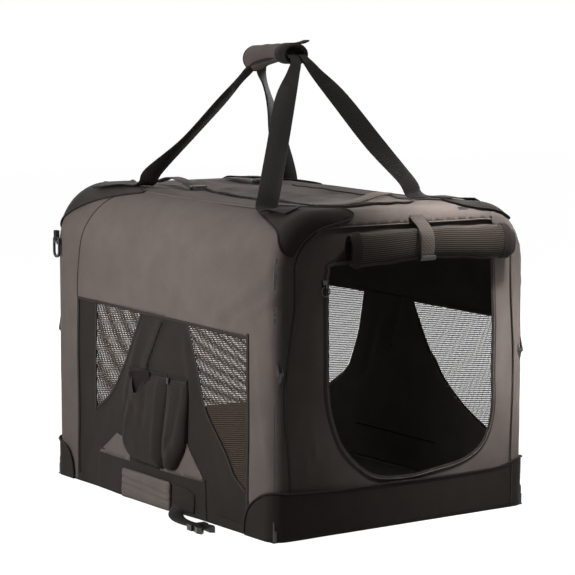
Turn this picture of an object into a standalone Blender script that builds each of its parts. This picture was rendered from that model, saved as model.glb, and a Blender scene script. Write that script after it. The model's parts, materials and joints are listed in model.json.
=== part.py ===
"""Soft folding dog crate: fabric walls over a steel tube frame that folds flat.

Metres, +Z up. The door end faces -Y, the wall with the pockets faces -X, and
the origin is at the middle of the underside. The crate stands open, with its
front door rolled up under the roof edge and its carrying handle held up.
"""

import math

import bmesh
import bpy
from mathutils import Vector

# Overall size of the fabric box
CRATE_LENGTH = 0.700
CRATE_WIDTH = 0.520
CRATE_HEIGHT = 0.520
SHOULDER_RADIUS = 0.095

# Cloth, board and the gap that touching pieces keep
FABRIC = 0.0015
MESH_CLOTH = 0.0010
SEAT = 0.0003
RUNNING_GAP = 0.0004
CUT_OVERRUN = 0.020
SLIVER = 0.0000001

# Steel frame
TUBE_RADIUS = 0.0080
TUBE_WALL = 0.0010
ROD_RADIUS = 0.0050
ROD_SPACING = 0.250
SLEEVE_WALL = 0.0012
SLEEVE_LENGTH = 0.020

# Corner fittings with the leg hinges
CHEEK = 0.0015
FITTING_ROOF = 0.0015
CHEEK_RADIUS = 0.0080
FITTING_HALF_DEPTH = 0.0095
SPIGOT_LENGTH = 0.020
LEG_PIN_RADIUS = 0.0030
LEG_TAIL = 0.0050
LEG_CLEARANCE = 0.0006

# Knee hinges
KNEE_TONGUE = 0.0050
KNEE_CHEEK = 0.0022
KNEE_END_RADIUS = 0.0040
KNEE_PIN_RADIUS = 0.0020
KNEE_PLATE_REACH = 0.022
KNEE_TUBE_GAP = 0.0050
KNEE_CLOTH_GAP = 0.0014
KNEE_NOTCH_HEIGHT = 0.026
KNEE_NOTCH_MARGIN = 0.0018

# Floor
BOARD_THICKNESS = 0.0030
PAD_THICKNESS = 0.0130
PAD_CORNER = 0.012
PAD_EDGE = 0.004

# Dark base skirt
SKIRT_HEIGHT = 0.067
SKIRT_CORNER_HEIGHT = 0.088
SKIRT_SIDE_HEIGHT = 0.016
SKIRT_CORNER_RUN = 0.078
SKIRT_END_RUN = 0.060

# Roof
VALANCE_DEPTH = 0.025
HATCH_WIDTH = 0.216
HATCH_FRONT_INSET = 0.080
HATCH_REAR_INSET = 0.230
HATCH_CORNER = 0.055
HEM_WIDTH = 0.032
HEM_THICKNESS = 0.0028
PATCH_RUN = 0.105
PATCH_DROP = 0.096
PATCH_ROOF_LAP = 0.040
PATCH_LOBE = 0.045
TIE_LENGTH = 0.110
TIE_WIDTH = 0.025
TIE_OFFSET = 0.090
TIE_GAP = 0.070
TIE_THICKNESS = 0.0016
TIE_STOP_LENGTH = 0.014
TIE_STOP_HEIGHT = 0.006

# Front door opening and the rolled door
DOOR_LEFT = -0.158
DOOR_RIGHT = 0.190
DOOR_BOTTOM = 0.076
DOOR_HEAD_DROP = 0.080
DOOR_LEFT_CORNER = 0.085
DOOR_RIGHT_CORNER = 0.070
DOOR_TOP_CORNER = 0.020
ROLL_LEFT = -0.128
ROLL_RIGHT = 0.193
ROLL_HALF_HEIGHT = 0.0300
ROLL_HALF_DEPTH = 0.0150
ROLL_CENTRE_DROP = 0.0580
ROLL_STEP_SHARE = 0.10
ROLL_EDGE_ANGLE = 60
DOOR_TIE_LEFT = 0.004
DOOR_TIE_WIDTH = 0.029
DOOR_TIE_TAIL = 0.008
DOOR_TIE_RISE = 0.014
DOOR_TIE_ANGLES = (70, 48, 26, 4, -14)
TOGGLE_LENGTH = 0.031
TOGGLE_RADIUS = 0.0045

# Front zip
ZIP_X = -0.1625
ZIP_DROP = 0.119
ZIP_SLIDER_WIDTH = 0.009
ZIP_SLIDER_HEIGHT = 0.012
ZIP_SLIDER_DEPTH = 0.0035
RING_RADIUS = 0.0080
RING_WIRE = 0.0010

# Rear mesh window
VENT_HALF_WIDTH = 0.160
VENT_BOTTOM = 0.094
VENT_HEAD_DROP = 0.100
VENT_CORNER = 0.060

# Windows in the long walls
WINDOW_REAR_INSET = 0.078
WINDOW_FRONT_INSET = 0.072
WINDOW_SHOULDER_DROP = 0.092
REAR_MESH_EDGE = 0.209
MESH_TOP_BORDER = 0.006
REAR_MESH_POINT = 0.139
FRONT_MESH_EDGE = 0.266
FRONT_MESH_POINT = {"left": 0.064, "right": 0.112}
BELL_TOP_REAR = {"left": 0.055, "right": 0.094}
BELL_TOP_FRONT = {"left": 0.092, "right": 0.047}
# Corners of the bell's edges between top and foot, in shares of the run along the wall and of the drop
BELL_REAR_SHARES = {
    "left": ((0.26, 0.41), (0.62, 0.78)),
    "right": ((0.13, 0.30), (0.48, 0.79)),
}
BELL_FRONT_SHARES = {
    "left": ((0.20, 0.33), (0.30, 0.52), (0.68, 0.78)),
    "right": ((0.20, 0.42), (0.38, 0.61), (0.62, 0.80)),
}

# Pockets on the left wall
POUCH_REAR = 0.084
POUCH_SPLIT = -0.040
POUCH_FRONT = -0.097
POUCH_TOP = 0.236
POUCH_BOTTOM = 0.076
ZIP_POCKET_BOTTOM = 0.092
POUCH_DEPTH = 0.030
POUCH_TOP_DEPTH = 0.010
POUCH_CORNER = 0.040
ZIP_POCKET_CORNER = 0.022
POUCH_ROUNDING = 0.007

# Carry sleeve, free strap and its buckle beside the left wall
CARRY_SLEEVE_REAR = 0.098
CARRY_SLEEVE_FRONT = -0.051
CARRY_SLEEVE_TOP = 0.0530
CARRY_SLEEVE_THICKNESS = 0.0080
CARRY_SLEEVE_ROUNDING = 0.0030
TAIL_WIDTH = 0.025
TAIL_THICKNESS = 0.0018
BUCKLE_LENGTH = 0.044
BUCKLE_WIDTH = 0.032
BUCKLE_THICKNESS = 0.0100
BUCKLE_PRONG_SHARE = 0.34
BUCKLE_WAIST_SHARE = 0.78
# The strap's centre line: out from the wall, along the crate, up from the floor
STRAP_ROUTE = (
    (0.0012, -0.0750, 0.0530),
    (0.0018, -0.0750, 0.0400),
    (0.0055, -0.0755, 0.0220),
    (0.0160, -0.0830, 0.0065),
    (0.0280, -0.1080, 0.0018),
    (0.0380, -0.1450, 0.0030),
    (0.0420, -0.1850, 0.0052),
)
# Which way the strap's width points at each of those places
STRAP_WIDTH_SHARES = (
    (0.00, 1.00, 0.00),
    (0.00, 1.00, 0.00),
    (0.00, 1.00, 0.00),
    (-0.45, 0.89, 0.00),
    (-0.89, 0.45, 0.00),
    (-0.96, 0.28, 0.00),
    (-1.00, 0.10, 0.00),
)

# Carrying handle
GRIP_RISE = 0.243
GRIP_CENTRE_Y = 0.022
GRIP_LENGTH = 0.124
GRIP_HALF_WIDTH = 0.0250
GRIP_HALF_HEIGHT = 0.0180
GRIP_WALL = 0.0035
FLAP_LENGTH = 0.060
FLAP_THICKNESS = 0.0030
WEBBING_WIDTH = 0.038
WEBBING_THICKNESS = 0.0018
FOLDED_WIDTH = 0.019
FOLDED_THICKNESS = 0.0040
LOOP_OFFSET = 0.0110
STRAP_ANCHOR_REACH = 0.025
STRAP_ANCHOR_INSET = 0.045
STRAP_LANDING_RISE = 0.006
# Where each strap leaves the roof, in shares of the half width and half length
STRAP_LANDING_SHARES = {
    "left_front": (-0.762, -0.749),
    "right_front": (0.654, -0.586),
    "left_rear": (-0.577, 0.606),
    "right_rear": (0.827, 0.814),
}
STRAP_FLAT_SHARES = (0.00, 0.50, 0.85)

# Clip that hangs from a webbing loop on the rear left corner
HANGER_LENGTH = 0.035
HANGER_WIDTH = 0.022
HANGER_WALL = 0.0040
HANGER_BAR_RADIUS = 0.0018
HANGER_LOOP_WIDTH = 0.010
HANGER_LOOP_WALL = 0.0012
HANGER_LOOP_RISE = 0.015
HANGER_LOOP_TAIL = 0.008

# Places worked out from the sizes above
HALF_LENGTH = CRATE_LENGTH / 2
HALF_WIDTH = CRATE_WIDTH / 2
SIDE_IN = HALF_WIDTH - FABRIC
END_OUT = HALF_LENGTH - FABRIC - SEAT
END_IN = END_OUT - FABRIC
TUBE_Y = END_IN - SEAT - TUBE_RADIUS
TUBE_X = SIDE_IN - SEAT - CHEEK - RUNNING_GAP - TUBE_RADIUS
PANEL_HALF = SIDE_IN - SEAT
SLEEVE_RADIUS = TUBE_RADIUS + SEAT + SLEEVE_WALL
ROOF_IN = CRATE_HEIGHT - FABRIC
ARCH_TOP = ROOF_IN - SEAT - SLEEVE_RADIUS
SHOULDER_X = HALF_WIDTH - SHOULDER_RADIUS
SHOULDER_Z = CRATE_HEIGHT - SHOULDER_RADIUS
ARCH_BEND = TUBE_X - SHOULDER_X
FLOOR_TOP = FABRIC
RAIL_Z = FLOOR_TOP + SEAT + TUBE_RADIUS
FITTING_HALF_WIDTH = TUBE_RADIUS + RUNNING_GAP + CHEEK
FITTING_TOP = RAIL_Z + TUBE_RADIUS + FITTING_ROOF
LEG_PIVOT_Z = FITTING_TOP + math.hypot(TUBE_RADIUS, LEG_TAIL) + LEG_CLEARANCE
KNEE_Z = (ARCH_TOP + LEG_PIVOT_Z) / 2
KNEE_Y = TUBE_Y + TUBE_RADIUS + SEAT + FABRIC + KNEE_CLOTH_GAP / 2
VALANCE_Z = CRATE_HEIGHT - VALANCE_DEPTH
ROLL_Y = HALF_LENGTH + FABRIC + 3 * SEAT + ROLL_HALF_DEPTH
ROLL_Z = CRATE_HEIGHT - ROLL_CENTRE_DROP
DOOR_TOP = CRATE_HEIGHT - DOOR_HEAD_DROP
ZIP_Z = CRATE_HEIGHT - ZIP_DROP
HATCH_FRONT = HALF_LENGTH - HATCH_FRONT_INSET
HATCH_REAR = HALF_LENGTH - HATCH_REAR_INSET
PATCH_ROOF_REACH = SHOULDER_X - PATCH_ROOF_LAP
VENT_TOP = CRATE_HEIGHT - VENT_HEAD_DROP
WINDOW_REAR = HALF_LENGTH - WINDOW_REAR_INSET
WINDOW_FRONT = HALF_LENGTH - WINDOW_FRONT_INSET
WINDOW_TOP = SHOULDER_Z - WINDOW_SHOULDER_DROP
GRIP_HEIGHT = CRATE_HEIGHT + GRIP_RISE
STRAP_ANCHOR_X = SHOULDER_X + STRAP_ANCHOR_REACH
STRAP_ANCHOR_Y = HALF_LENGTH - STRAP_ANCHOR_INSET

# How finely round shapes are drawn
ROUND_STEPS = 16
BEVEL_STEPS = 2
BEVEL_PROFILE = 0.5
ROLL_STEPS = 20
PIN_STEPS = 12
RING_STEPS = 8
ARC_STEPS = 6
CORNER_STEPS = 4
SHOULDER_STEPS = 8
SPAN_STEPS = 4
SHARP_ANGLE = 35


# Materials
def material(name, colour, roughness, metallic=0.0):
    """A plain finish with one colour, roughness and metallic value."""
    finish = bpy.data.materials.new(name)
    finish.use_nodes = True
    shader = finish.node_tree.nodes["Principled BSDF"]
    shader.inputs["Base Color"].default_value = (*colour, 1.0)
    shader.inputs["Roughness"].default_value = roughness
    shader.inputs["Metallic"].default_value = metallic
    finish.diffuse_color = (*colour, 1.0)
    return finish


# Drawing outlines
def arc(centre, radius, start, end, steps=ARC_STEPS):
    """Points on an arc, both ends included, angles in degrees."""
    points = []
    for step in range(steps + 1):
        angle = math.radians(start + (end - start) * step / steps)
        points.append((centre[0] + radius * math.cos(angle),
                       centre[1] + radius * math.sin(angle)))
    return points


def rectangle(low, high):
    """The four corners of a rectangle, anticlockwise."""
    return [(low[0], low[1]), (high[0], low[1]), (high[0], high[1]), (low[0], high[1])]


def shoulder_side(inset, low, high):
    """The right half of the crate's end view, between two heights."""
    line = [(HALF_WIDTH - inset, 0)]
    line += arc((SHOULDER_X, SHOULDER_Z), SHOULDER_RADIUS - inset, 0, 90, SHOULDER_STEPS)
    points = []
    for (x0, z0), (x1, z1) in zip(line, line[1:]):
        bottom, top = max(z0, low), min(z1, high)
        if bottom < top:
            slope = (x1 - x0) / (z1 - z0)
            if not points:
                points.append((x0 + slope * (bottom - z0), bottom))
            points.append((x0 + slope * (top - z0), top))
    return points


def shoulder_arch(inset, low):
    """The crate's end view: straight sides and round shoulders, cut off at a height."""
    right = shoulder_side(inset, low, CRATE_HEIGHT - inset)
    return right + [(-x, z) for x, z in reversed(right)]


# Building solids
def to_space(point, plane, height):
    """Place a flat point on one of the three planes."""
    u, v = point
    if plane == "XZ":
        return (u, height, v)
    if plane == "YZ":
        return (height, u, v)
    return (u, v, height)


def prism(outline, plane, low, high):
    """A closed solid: an outline drawn on a plane and pushed from low to high."""
    solid = bmesh.new()
    corners = [solid.verts.new(to_space(point, plane, low)) for point in outline]
    face = solid.faces.new(corners)
    moved = bmesh.ops.extrude_face_region(solid, geom=[face])
    tops = [item for item in moved["geom"] if isinstance(item, bmesh.types.BMVert)]
    push = Vector(to_space((0, 0), plane, high)) - Vector(to_space((0, 0), plane, low))
    bmesh.ops.translate(solid, verts=tops, vec=push)
    return solid


def cylinder(centre, axis, radius, low, high, sides=ROUND_STEPS):
    """A round bar along X, Y or Z between two places on that axis."""
    turn = 360 - 360 / sides
    if axis == "X":
        return prism(arc((centre[0], centre[1]), radius, 0, turn, sides - 1), "YZ", low, high)
    if axis == "Y":
        return prism(arc((centre[0], centre[1]), radius, 0, turn, sides - 1), "XZ", low, high)
    return prism(arc((centre[0], centre[1]), radius, 0, turn, sides - 1), "XY", low, high)


def block(low, high):
    """A box between two corners."""
    return prism(rectangle(low[:2], high[:2]), "XY", low[2], high[2])


def ribbon(stations):
    """A flat band: each station is a centre, a half width vector and a half thickness vector."""
    band = bmesh.new()
    rings = []
    for centre, side, lift in stations:
        centre, side, lift = Vector(centre), Vector(side), Vector(lift)
        corners = (centre - side - lift, centre + side - lift,
                   centre + side + lift, centre - side + lift)
        rings.append([band.verts.new(corner) for corner in corners])
    band.faces.new(rings[0])
    for ring, following in zip(rings, rings[1:]):
        for index in range(len(ring)):
            after = (index + 1) % len(ring)
            band.faces.new((ring[index], ring[after], following[after], following[index]))
    band.faces.new(rings[-1])
    return band


def smooth_route(points, per_span=SPAN_STEPS):
    """A smooth curve through the given points."""
    route = []
    ends = [points[0]] + list(points) + [points[-1]]
    for index in range(1, len(ends) - 2):
        before, start, end, after = (Vector(ends[index + shift]) for shift in (-1, 0, 1, 2))
        for step in range(per_span):
            t = step / per_span
            route.append(0.5 * (2 * start + (end - before) * t
                                + (2 * before - 5 * start + 4 * end - after) * t ** 2
                                + (3 * start - before - 3 * end + after) * t ** 3))
    route.append(Vector(points[-1]))
    return route


def point_out(solid):
    """Turn every face of a closed solid outwards."""
    bmesh.ops.recalc_face_normals(solid, faces=solid.faces)
    if solid.calc_volume(signed=True) < 0:
        bmesh.ops.reverse_faces(solid, faces=solid.faces)


def new_object(name, solid, finish, parent=None, rounded=False):
    """Turn a bmesh into a named object with its finish."""
    point_out(solid)
    mesh = bpy.data.meshes.new(name)
    solid.to_mesh(mesh)
    solid.free()
    if finish is not None:
        mesh.materials.append(finish)
    if rounded:
        mesh.shade_smooth()
        mesh.set_sharp_from_angle(angle=math.radians(SHARP_ANGLE))
    thing = bpy.data.objects.new(name, mesh)
    bpy.context.scene.collection.objects.link(thing)
    if parent is not None:
        hang_on(thing, parent)
    return thing


def hang_on(thing, parent):
    """Parent an object to a pivot and keep its place."""
    thing.parent = parent
    thing.matrix_parent_inverse = parent.matrix_world.inverted()


def pivot(name, place, parent=None):
    """An empty on a joint's axis."""
    empty = bpy.data.objects.new(name, None)
    empty.location = place
    bpy.context.scene.collection.objects.link(empty)
    bpy.context.view_layer.update()
    if parent is not None:
        hang_on(empty, parent)
        bpy.context.view_layer.update()
    return empty


def evaluated(thing):
    """The object's mesh as its modifiers leave it, in a new bmesh, with the object removed."""
    graph = bpy.context.evaluated_depsgraph_get()
    mesh = bpy.data.meshes.new_from_object(thing.evaluated_get(graph))
    solid = bmesh.new()
    solid.from_mesh(mesh)
    solid.transform(thing.matrix_world)
    bpy.data.meshes.remove(mesh)
    bpy.data.objects.remove(thing)
    return solid


def combine(solid, add=(), cut=()):
    """Join solids to a first one, then cut others away from it."""
    body = new_object("body", solid, None)
    helpers = []
    for operation, tools in (("UNION", add), ("DIFFERENCE", cut)):
        for tool in tools:
            helper = new_object("tool", tool, None)
            step = body.modifiers.new(operation, "BOOLEAN")
            step.operation = operation
            step.object = helper
            helpers.append(helper)
    bpy.context.view_layer.update()
    result = evaluated(body)
    for helper in helpers:
        bpy.data.objects.remove(helper)
    bmesh.ops.dissolve_degenerate(result, dist=SLIVER, edges=result.edges)
    return result


def hollow_tube(route):
    """An open steel tube along a route of points."""
    curve = bpy.data.curves.new("route", "CURVE")
    curve.dimensions = "3D"
    curve.bevel_depth = TUBE_RADIUS
    curve.bevel_resolution = CORNER_STEPS
    spline = curve.splines.new("POLY")
    spline.points.add(len(route) - 1)
    for point, place in zip(spline.points, route):
        point.co = (*place, 1)
    tube = bpy.data.objects.new("route", curve)
    bpy.context.scene.collection.objects.link(tube)
    wall = tube.modifiers.new("Wall", "SOLIDIFY")
    wall.thickness = TUBE_WALL
    wall.offset = -1
    bpy.context.view_layer.update()
    return evaluated(tube)


# Start from an empty scene
for leftover in list(bpy.data.objects):
    bpy.data.objects.remove(leftover)

GREY_CLOTH = material("grey polyester", (0.150, 0.125, 0.115), 0.80)
DARK_CLOTH = material("dark polyester", (0.040, 0.032, 0.027), 0.75)
NET = material("nylon net", (0.060, 0.055, 0.050), 0.60)
WEBBING = material("polypropylene webbing", (0.030, 0.026, 0.023), 0.65)
GREY_WEBBING = material("grey webbing", (0.130, 0.110, 0.100), 0.70)
STEEL = material("painted steel", (0.020, 0.020, 0.020), 0.40, 0.6)
BOARD = material("stiff board", (0.080, 0.070, 0.060), 0.80)
FLEECE = material("dark grey fleece", (0.068, 0.060, 0.054), 0.95)
ACETAL = material("black acetal", (0.012, 0.012, 0.012), 0.35)
ZINC = material("zinc slider", (0.450, 0.450, 0.450), 0.30, 1.0)


# Base
def build_base():
    """Floor, base rails, corner fittings and the dark skirt."""
    base = pivot("base", (0, 0, 0))
    cloth = block((-HALF_WIDTH, -END_OUT, 0), (HALF_WIDTH, END_OUT, FLOOR_TOP))
    new_object("bottom_panel", cloth, DARK_CLOTH, base)

    board_low = FLOOR_TOP + SEAT
    board_top = board_low + BOARD_THICKNESS
    board_x = TUBE_X - TUBE_RADIUS - SEAT
    board_y = TUBE_Y - TUBE_RADIUS - SEAT
    clear = FITTING_HALF_WIDTH + SEAT
    board = block((-board_x, -board_y, board_low), (board_x, board_y, board_top))
    corners = []
    for side in (-1, 1):
        for end in (-1, 1):
            x, y = side * TUBE_X, end * TUBE_Y
            reach = SPIGOT_LENGTH / 2
            corners.append(block((x - clear - reach, y - clear - reach, board_low - reach),
                                 (x + clear + reach, y + clear + reach, board_top + reach)))
    new_object("floor_board", combine(board, cut=corners), BOARD, base)

    pad_low = board_top + SEAT
    outline = rounded_rectangle(board_x, board_y, PAD_CORNER + clear)
    pad = prism(outline, "XY", pad_low, pad_low + PAD_THICKNESS)
    edges = [edge for edge in pad.edges if all(v.co.z > pad_low + SEAT for v in edge.verts)]
    bmesh.ops.bevel(pad, geom=edges, offset=PAD_EDGE, segments=BEVEL_STEPS,
                    profile=BEVEL_PROFILE, affect="EDGES")
    new_object("floor_pad", pad, FLEECE, base, rounded=True)

    rail_x = TUBE_X - FITTING_HALF_WIDTH - SEAT
    rail_y = TUBE_Y - FITTING_HALF_DEPTH - SEAT
    for name, y in (("front_rail", -TUBE_Y), ("rear_rail", TUBE_Y)):
        rail = hollow_tube([(-rail_x, y, RAIL_Z), (rail_x, y, RAIL_Z)])
        new_object(name, rail, STEEL, base, rounded=True)
    for name, x in (("left_rail", -TUBE_X), ("right_rail", TUBE_X)):
        rail = hollow_tube([(x, -rail_y, RAIL_Z), (x, rail_y, RAIL_Z)])
        new_object(name, rail, STEEL, base, rounded=True)

    for end_name, end in (("front", -1), ("rear", 1)):
        for side_name, side in (("left", -1), ("right", 1)):
            fitting = corner_fitting(side, end)
            new_object(f"{end_name}_{side_name}_corner_fitting", fitting, ACETAL, base)

    build_skirt(base)
    return base


def rounded_rectangle(half_x, half_y, radius):
    """A rectangle about the origin with round corners."""
    x, y = half_x - radius, half_y - radius
    outline = []
    for quarter, centre in enumerate(((x, y), (-x, y), (-x, -y), (x, -y))):
        outline += arc(centre, radius, 90 * quarter, 90 * quarter + 90, CORNER_STEPS)
    return outline


def corner_fitting(side, end):
    """A moulded elbow: spigots for two rails and two cheeks that carry a leg's pin."""
    x, y = side * TUBE_X, end * TUBE_Y
    low = FLOOR_TOP + SEAT
    core = block((x - FITTING_HALF_WIDTH, y - FITTING_HALF_DEPTH, low),
                 (x + FITTING_HALF_WIDTH, y + FITTING_HALF_DEPTH, FITTING_TOP))
    bore = TUBE_RADIUS - TUBE_WALL - RUNNING_GAP
    x_inner = side * (TUBE_X - SPIGOT_LENGTH - FITTING_HALF_WIDTH)
    y_inner = end * (TUBE_Y - SPIGOT_LENGTH - FITTING_HALF_DEPTH)
    spigots = [cylinder((y, RAIL_Z), "X", bore, min(x, x_inner), max(x, x_inner)),
               cylinder((x, RAIL_Z), "Y", bore, min(y, y_inner), max(y, y_inner))]
    cheek_outline = [(y - CHEEK_RADIUS, RAIL_Z), (y + CHEEK_RADIUS, RAIL_Z)]
    cheek_outline += arc((y, LEG_PIVOT_Z), CHEEK_RADIUS, 0, 180)
    inner = TUBE_RADIUS + RUNNING_GAP
    cheeks = [prism(cheek_outline, "YZ", x + inner, x + FITTING_HALF_WIDTH),
              prism(cheek_outline, "YZ", x - FITTING_HALF_WIDTH, x - inner)]
    pin = cylinder((y, LEG_PIVOT_Z), "X", LEG_PIN_RADIUS,
                   x - inner - CHEEK / 2, x + inner + CHEEK / 2)
    return combine(core, add=spigots + cheeks + [pin])


def build_skirt(base):
    """The dark band round the foot of the walls, raised at the corners."""
    out_x = HALF_WIDTH + SEAT + FABRIC
    in_x = HALF_WIDTH + SEAT
    in_y = HALF_LENGTH - FABRIC
    high = SKIRT_CORNER_HEIGHT + SEAT
    ring = block((-out_x, -HALF_LENGTH, 0), (out_x, HALF_LENGTH, high))
    hollow = block((-in_x, -in_y, -CUT_OVERRUN), (in_x, in_y, high + CUT_OVERRUN))

    def above(half, height, run, corner):
        top = high + CUT_OVERRUN
        flat = half - run
        middle = half - run / 2
        rise = (corner + height) / 2
        right = [(flat, height), (middle, rise), (half, corner), (half + CUT_OVERRUN, corner)]
        left = [(-u, v) for u, v in reversed(right)]
        return left + right + [(half + CUT_OVERRUN, top), (-half - CUT_OVERRUN, top)]

    over_ends = above(out_x, SKIRT_HEIGHT, SKIRT_END_RUN, SKIRT_CORNER_HEIGHT)
    over_sides = above(HALF_LENGTH, SKIRT_SIDE_HEIGHT, SKIRT_CORNER_RUN, SKIRT_CORNER_HEIGHT)
    reach = HALF_LENGTH + CUT_OVERRUN
    cuts = [hollow, prism(over_ends, "XZ", -reach, reach)]
    for side in (-1, 1):
        band = sorted((side * (in_x - SEAT), side * (out_x + CUT_OVERRUN)))
        cuts.append(prism(over_sides, "YZ", *band))
    new_object("base_skirt", combine(ring, cut=cuts), DARK_CLOTH, base)


# Folding frame and end walls
def build_leg(name, side, end, parent):
    """A lower tube: bored for its floor pin, with the knee's tongue and pin at the top."""
    x, y = side * TUBE_X, end * TUBE_Y
    tube = hollow_tube([(x, y, LEG_PIVOT_Z - LEG_TAIL), (x, y, KNEE_Z - KNEE_TUBE_GAP)])
    bore = cylinder((y, LEG_PIVOT_Z), "X", LEG_PIN_RADIUS + RUNNING_GAP,
                    x - TUBE_RADIUS - CUT_OVERRUN, x + TUBE_RADIUS + CUT_OVERRUN)
    knee_y = end * KNEE_Y
    plate = knee_plate(end, -1)
    tongue = prism(plate, "YZ", x - KNEE_TONGUE / 2, x + KNEE_TONGUE / 2)
    reach = KNEE_TONGUE / 2 + SEAT + KNEE_CHEEK
    pin = cylinder((knee_y, KNEE_Z), "X", KNEE_PIN_RADIUS, x - reach, x + reach, PIN_STEPS)
    new_object(name, combine(tube, add=[tongue, pin], cut=[bore]), STEEL, parent, rounded=True)


def knee_plate(end, up):
    """A hinge plate in side view, from the pin's round end to the middle of the tube."""
    knee_y = end * KNEE_Y
    tube_y = end * TUBE_Y
    far = KNEE_Z + up * KNEE_PLATE_REACH
    near = KNEE_Z + up * KNEE_TUBE_GAP
    outer = end * (TUBE_Y + TUBE_RADIUS)
    start = 0 if end > 0 else 180
    sweep = -90 if end * up > 0 else 90
    tip = arc((knee_y, KNEE_Z), KNEE_END_RADIUS, start, start + 2 * sweep, 2 * CORNER_STEPS)
    return [(tube_y, far), (outer, far)] + tip + [(tube_y, near)]


def build_arch(name, end, parent):
    """The upper half of an end frame: one bent tube with a fork at each knee."""
    y = end * TUBE_Y
    low = KNEE_Z + KNEE_TUBE_GAP
    centre_z = ARCH_TOP - ARCH_BEND
    right = arc((SHOULDER_X, centre_z), ARCH_BEND, 0, 90)
    left = [(-x, z) for x, z in reversed(right)]
    profile = [(TUBE_X, low)] + right + left + [(-TUBE_X, low)]
    tube = hollow_tube([(x, y, z) for x, z in profile])
    plates, bores = [], []
    plate = knee_plate(end, 1)
    for side in (-1, 1):
        x = side * TUBE_X
        inner = KNEE_TONGUE / 2 + SEAT
        plates.append(prism(plate, "YZ", x + inner, x + inner + KNEE_CHEEK))
        plates.append(prism(plate, "YZ", x - inner - KNEE_CHEEK, x - inner))
        bores.append(cylinder((end * KNEE_Y, KNEE_Z), "X", KNEE_PIN_RADIUS + SEAT,
                              x - CUT_OVERRUN, x + CUT_OVERRUN, PIN_STEPS))
    new_object(name, combine(tube, add=plates, cut=bores), STEEL, parent, rounded=True)


def end_band(end):
    """Where an end wall lies along Y, low value first."""
    return min(end * END_IN, end * END_OUT), max(end * END_IN, end * END_OUT)


def lower_wall(opening):
    """The lower half of an end wall, with the foot of an opening cut down from its top."""
    foot = LEG_PIVOT_Z + SEAT
    top = KNEE_Z - KNEE_CLOTH_GAP / 2
    neck = TUBE_X - KNEE_TONGUE / 2 - SEAT - KNEE_CHEEK - KNEE_NOTCH_MARGIN
    step = KNEE_Z - KNEE_NOTCH_HEIGHT
    left, right, bottom, left_corner, right_corner = opening
    cut = [(right, top)]
    cut += arc((right - right_corner, bottom + right_corner), right_corner, 0, -90)
    cut += arc((left + left_corner, bottom + left_corner), left_corner, -90, -180)
    cut += [(left, top)]
    return ([(-PANEL_HALF, foot), (PANEL_HALF, foot), (PANEL_HALF, step), (neck, step), (neck, top)]
            + cut + [(-neck, top), (-neck, step), (-PANEL_HALF, step)])


def upper_wall(opening):
    """The upper half of an end wall, with the head of an opening cut up from its foot."""
    foot = KNEE_Z + KNEE_CLOTH_GAP / 2
    top = VALANCE_Z + FABRIC
    neck = TUBE_X - KNEE_TONGUE / 2 - SEAT - KNEE_CHEEK - KNEE_NOTCH_MARGIN
    step = KNEE_Z + KNEE_NOTCH_HEIGHT
    left, right, head, corner = opening
    outside = [(neck, foot), (neck, step)] + shoulder_side(FABRIC + SEAT, step, top)
    outside += [(-x, z) for x, z in reversed(outside)]
    cut = [(left, foot)]
    cut += arc((left + corner, head - corner), corner, 180, 90)
    cut += arc((right - corner, head - corner), corner, 90, 0)
    cut += [(right, foot)]
    return outside + cut


def build_front(base):
    """Front legs, front arch and the wall with the door opening."""
    leg = pivot("front_leg_pivot", (0, -TUBE_Y, LEG_PIVOT_Z), base)
    arch = pivot("front_knee_pivot", (0, -KNEE_Y, KNEE_Z), leg)
    build_leg("front_left_leg", -1, -1, leg)
    build_leg("front_right_leg", 1, -1, leg)
    build_arch("front_arch", -1, arch)
    low, high = end_band(-1)
    door_foot = (DOOR_LEFT, DOOR_RIGHT, DOOR_BOTTOM, DOOR_LEFT_CORNER, DOOR_RIGHT_CORNER)
    door_head = (DOOR_LEFT, DOOR_RIGHT, DOOR_TOP, DOOR_TOP_CORNER)
    new_object("front_wall_lower", prism(lower_wall(door_foot), "XZ", low, high), GREY_CLOTH, leg)
    new_object("front_wall_upper", prism(upper_wall(door_head), "XZ", low, high), GREY_CLOTH, arch)
    build_zip(arch)
    return arch


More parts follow.
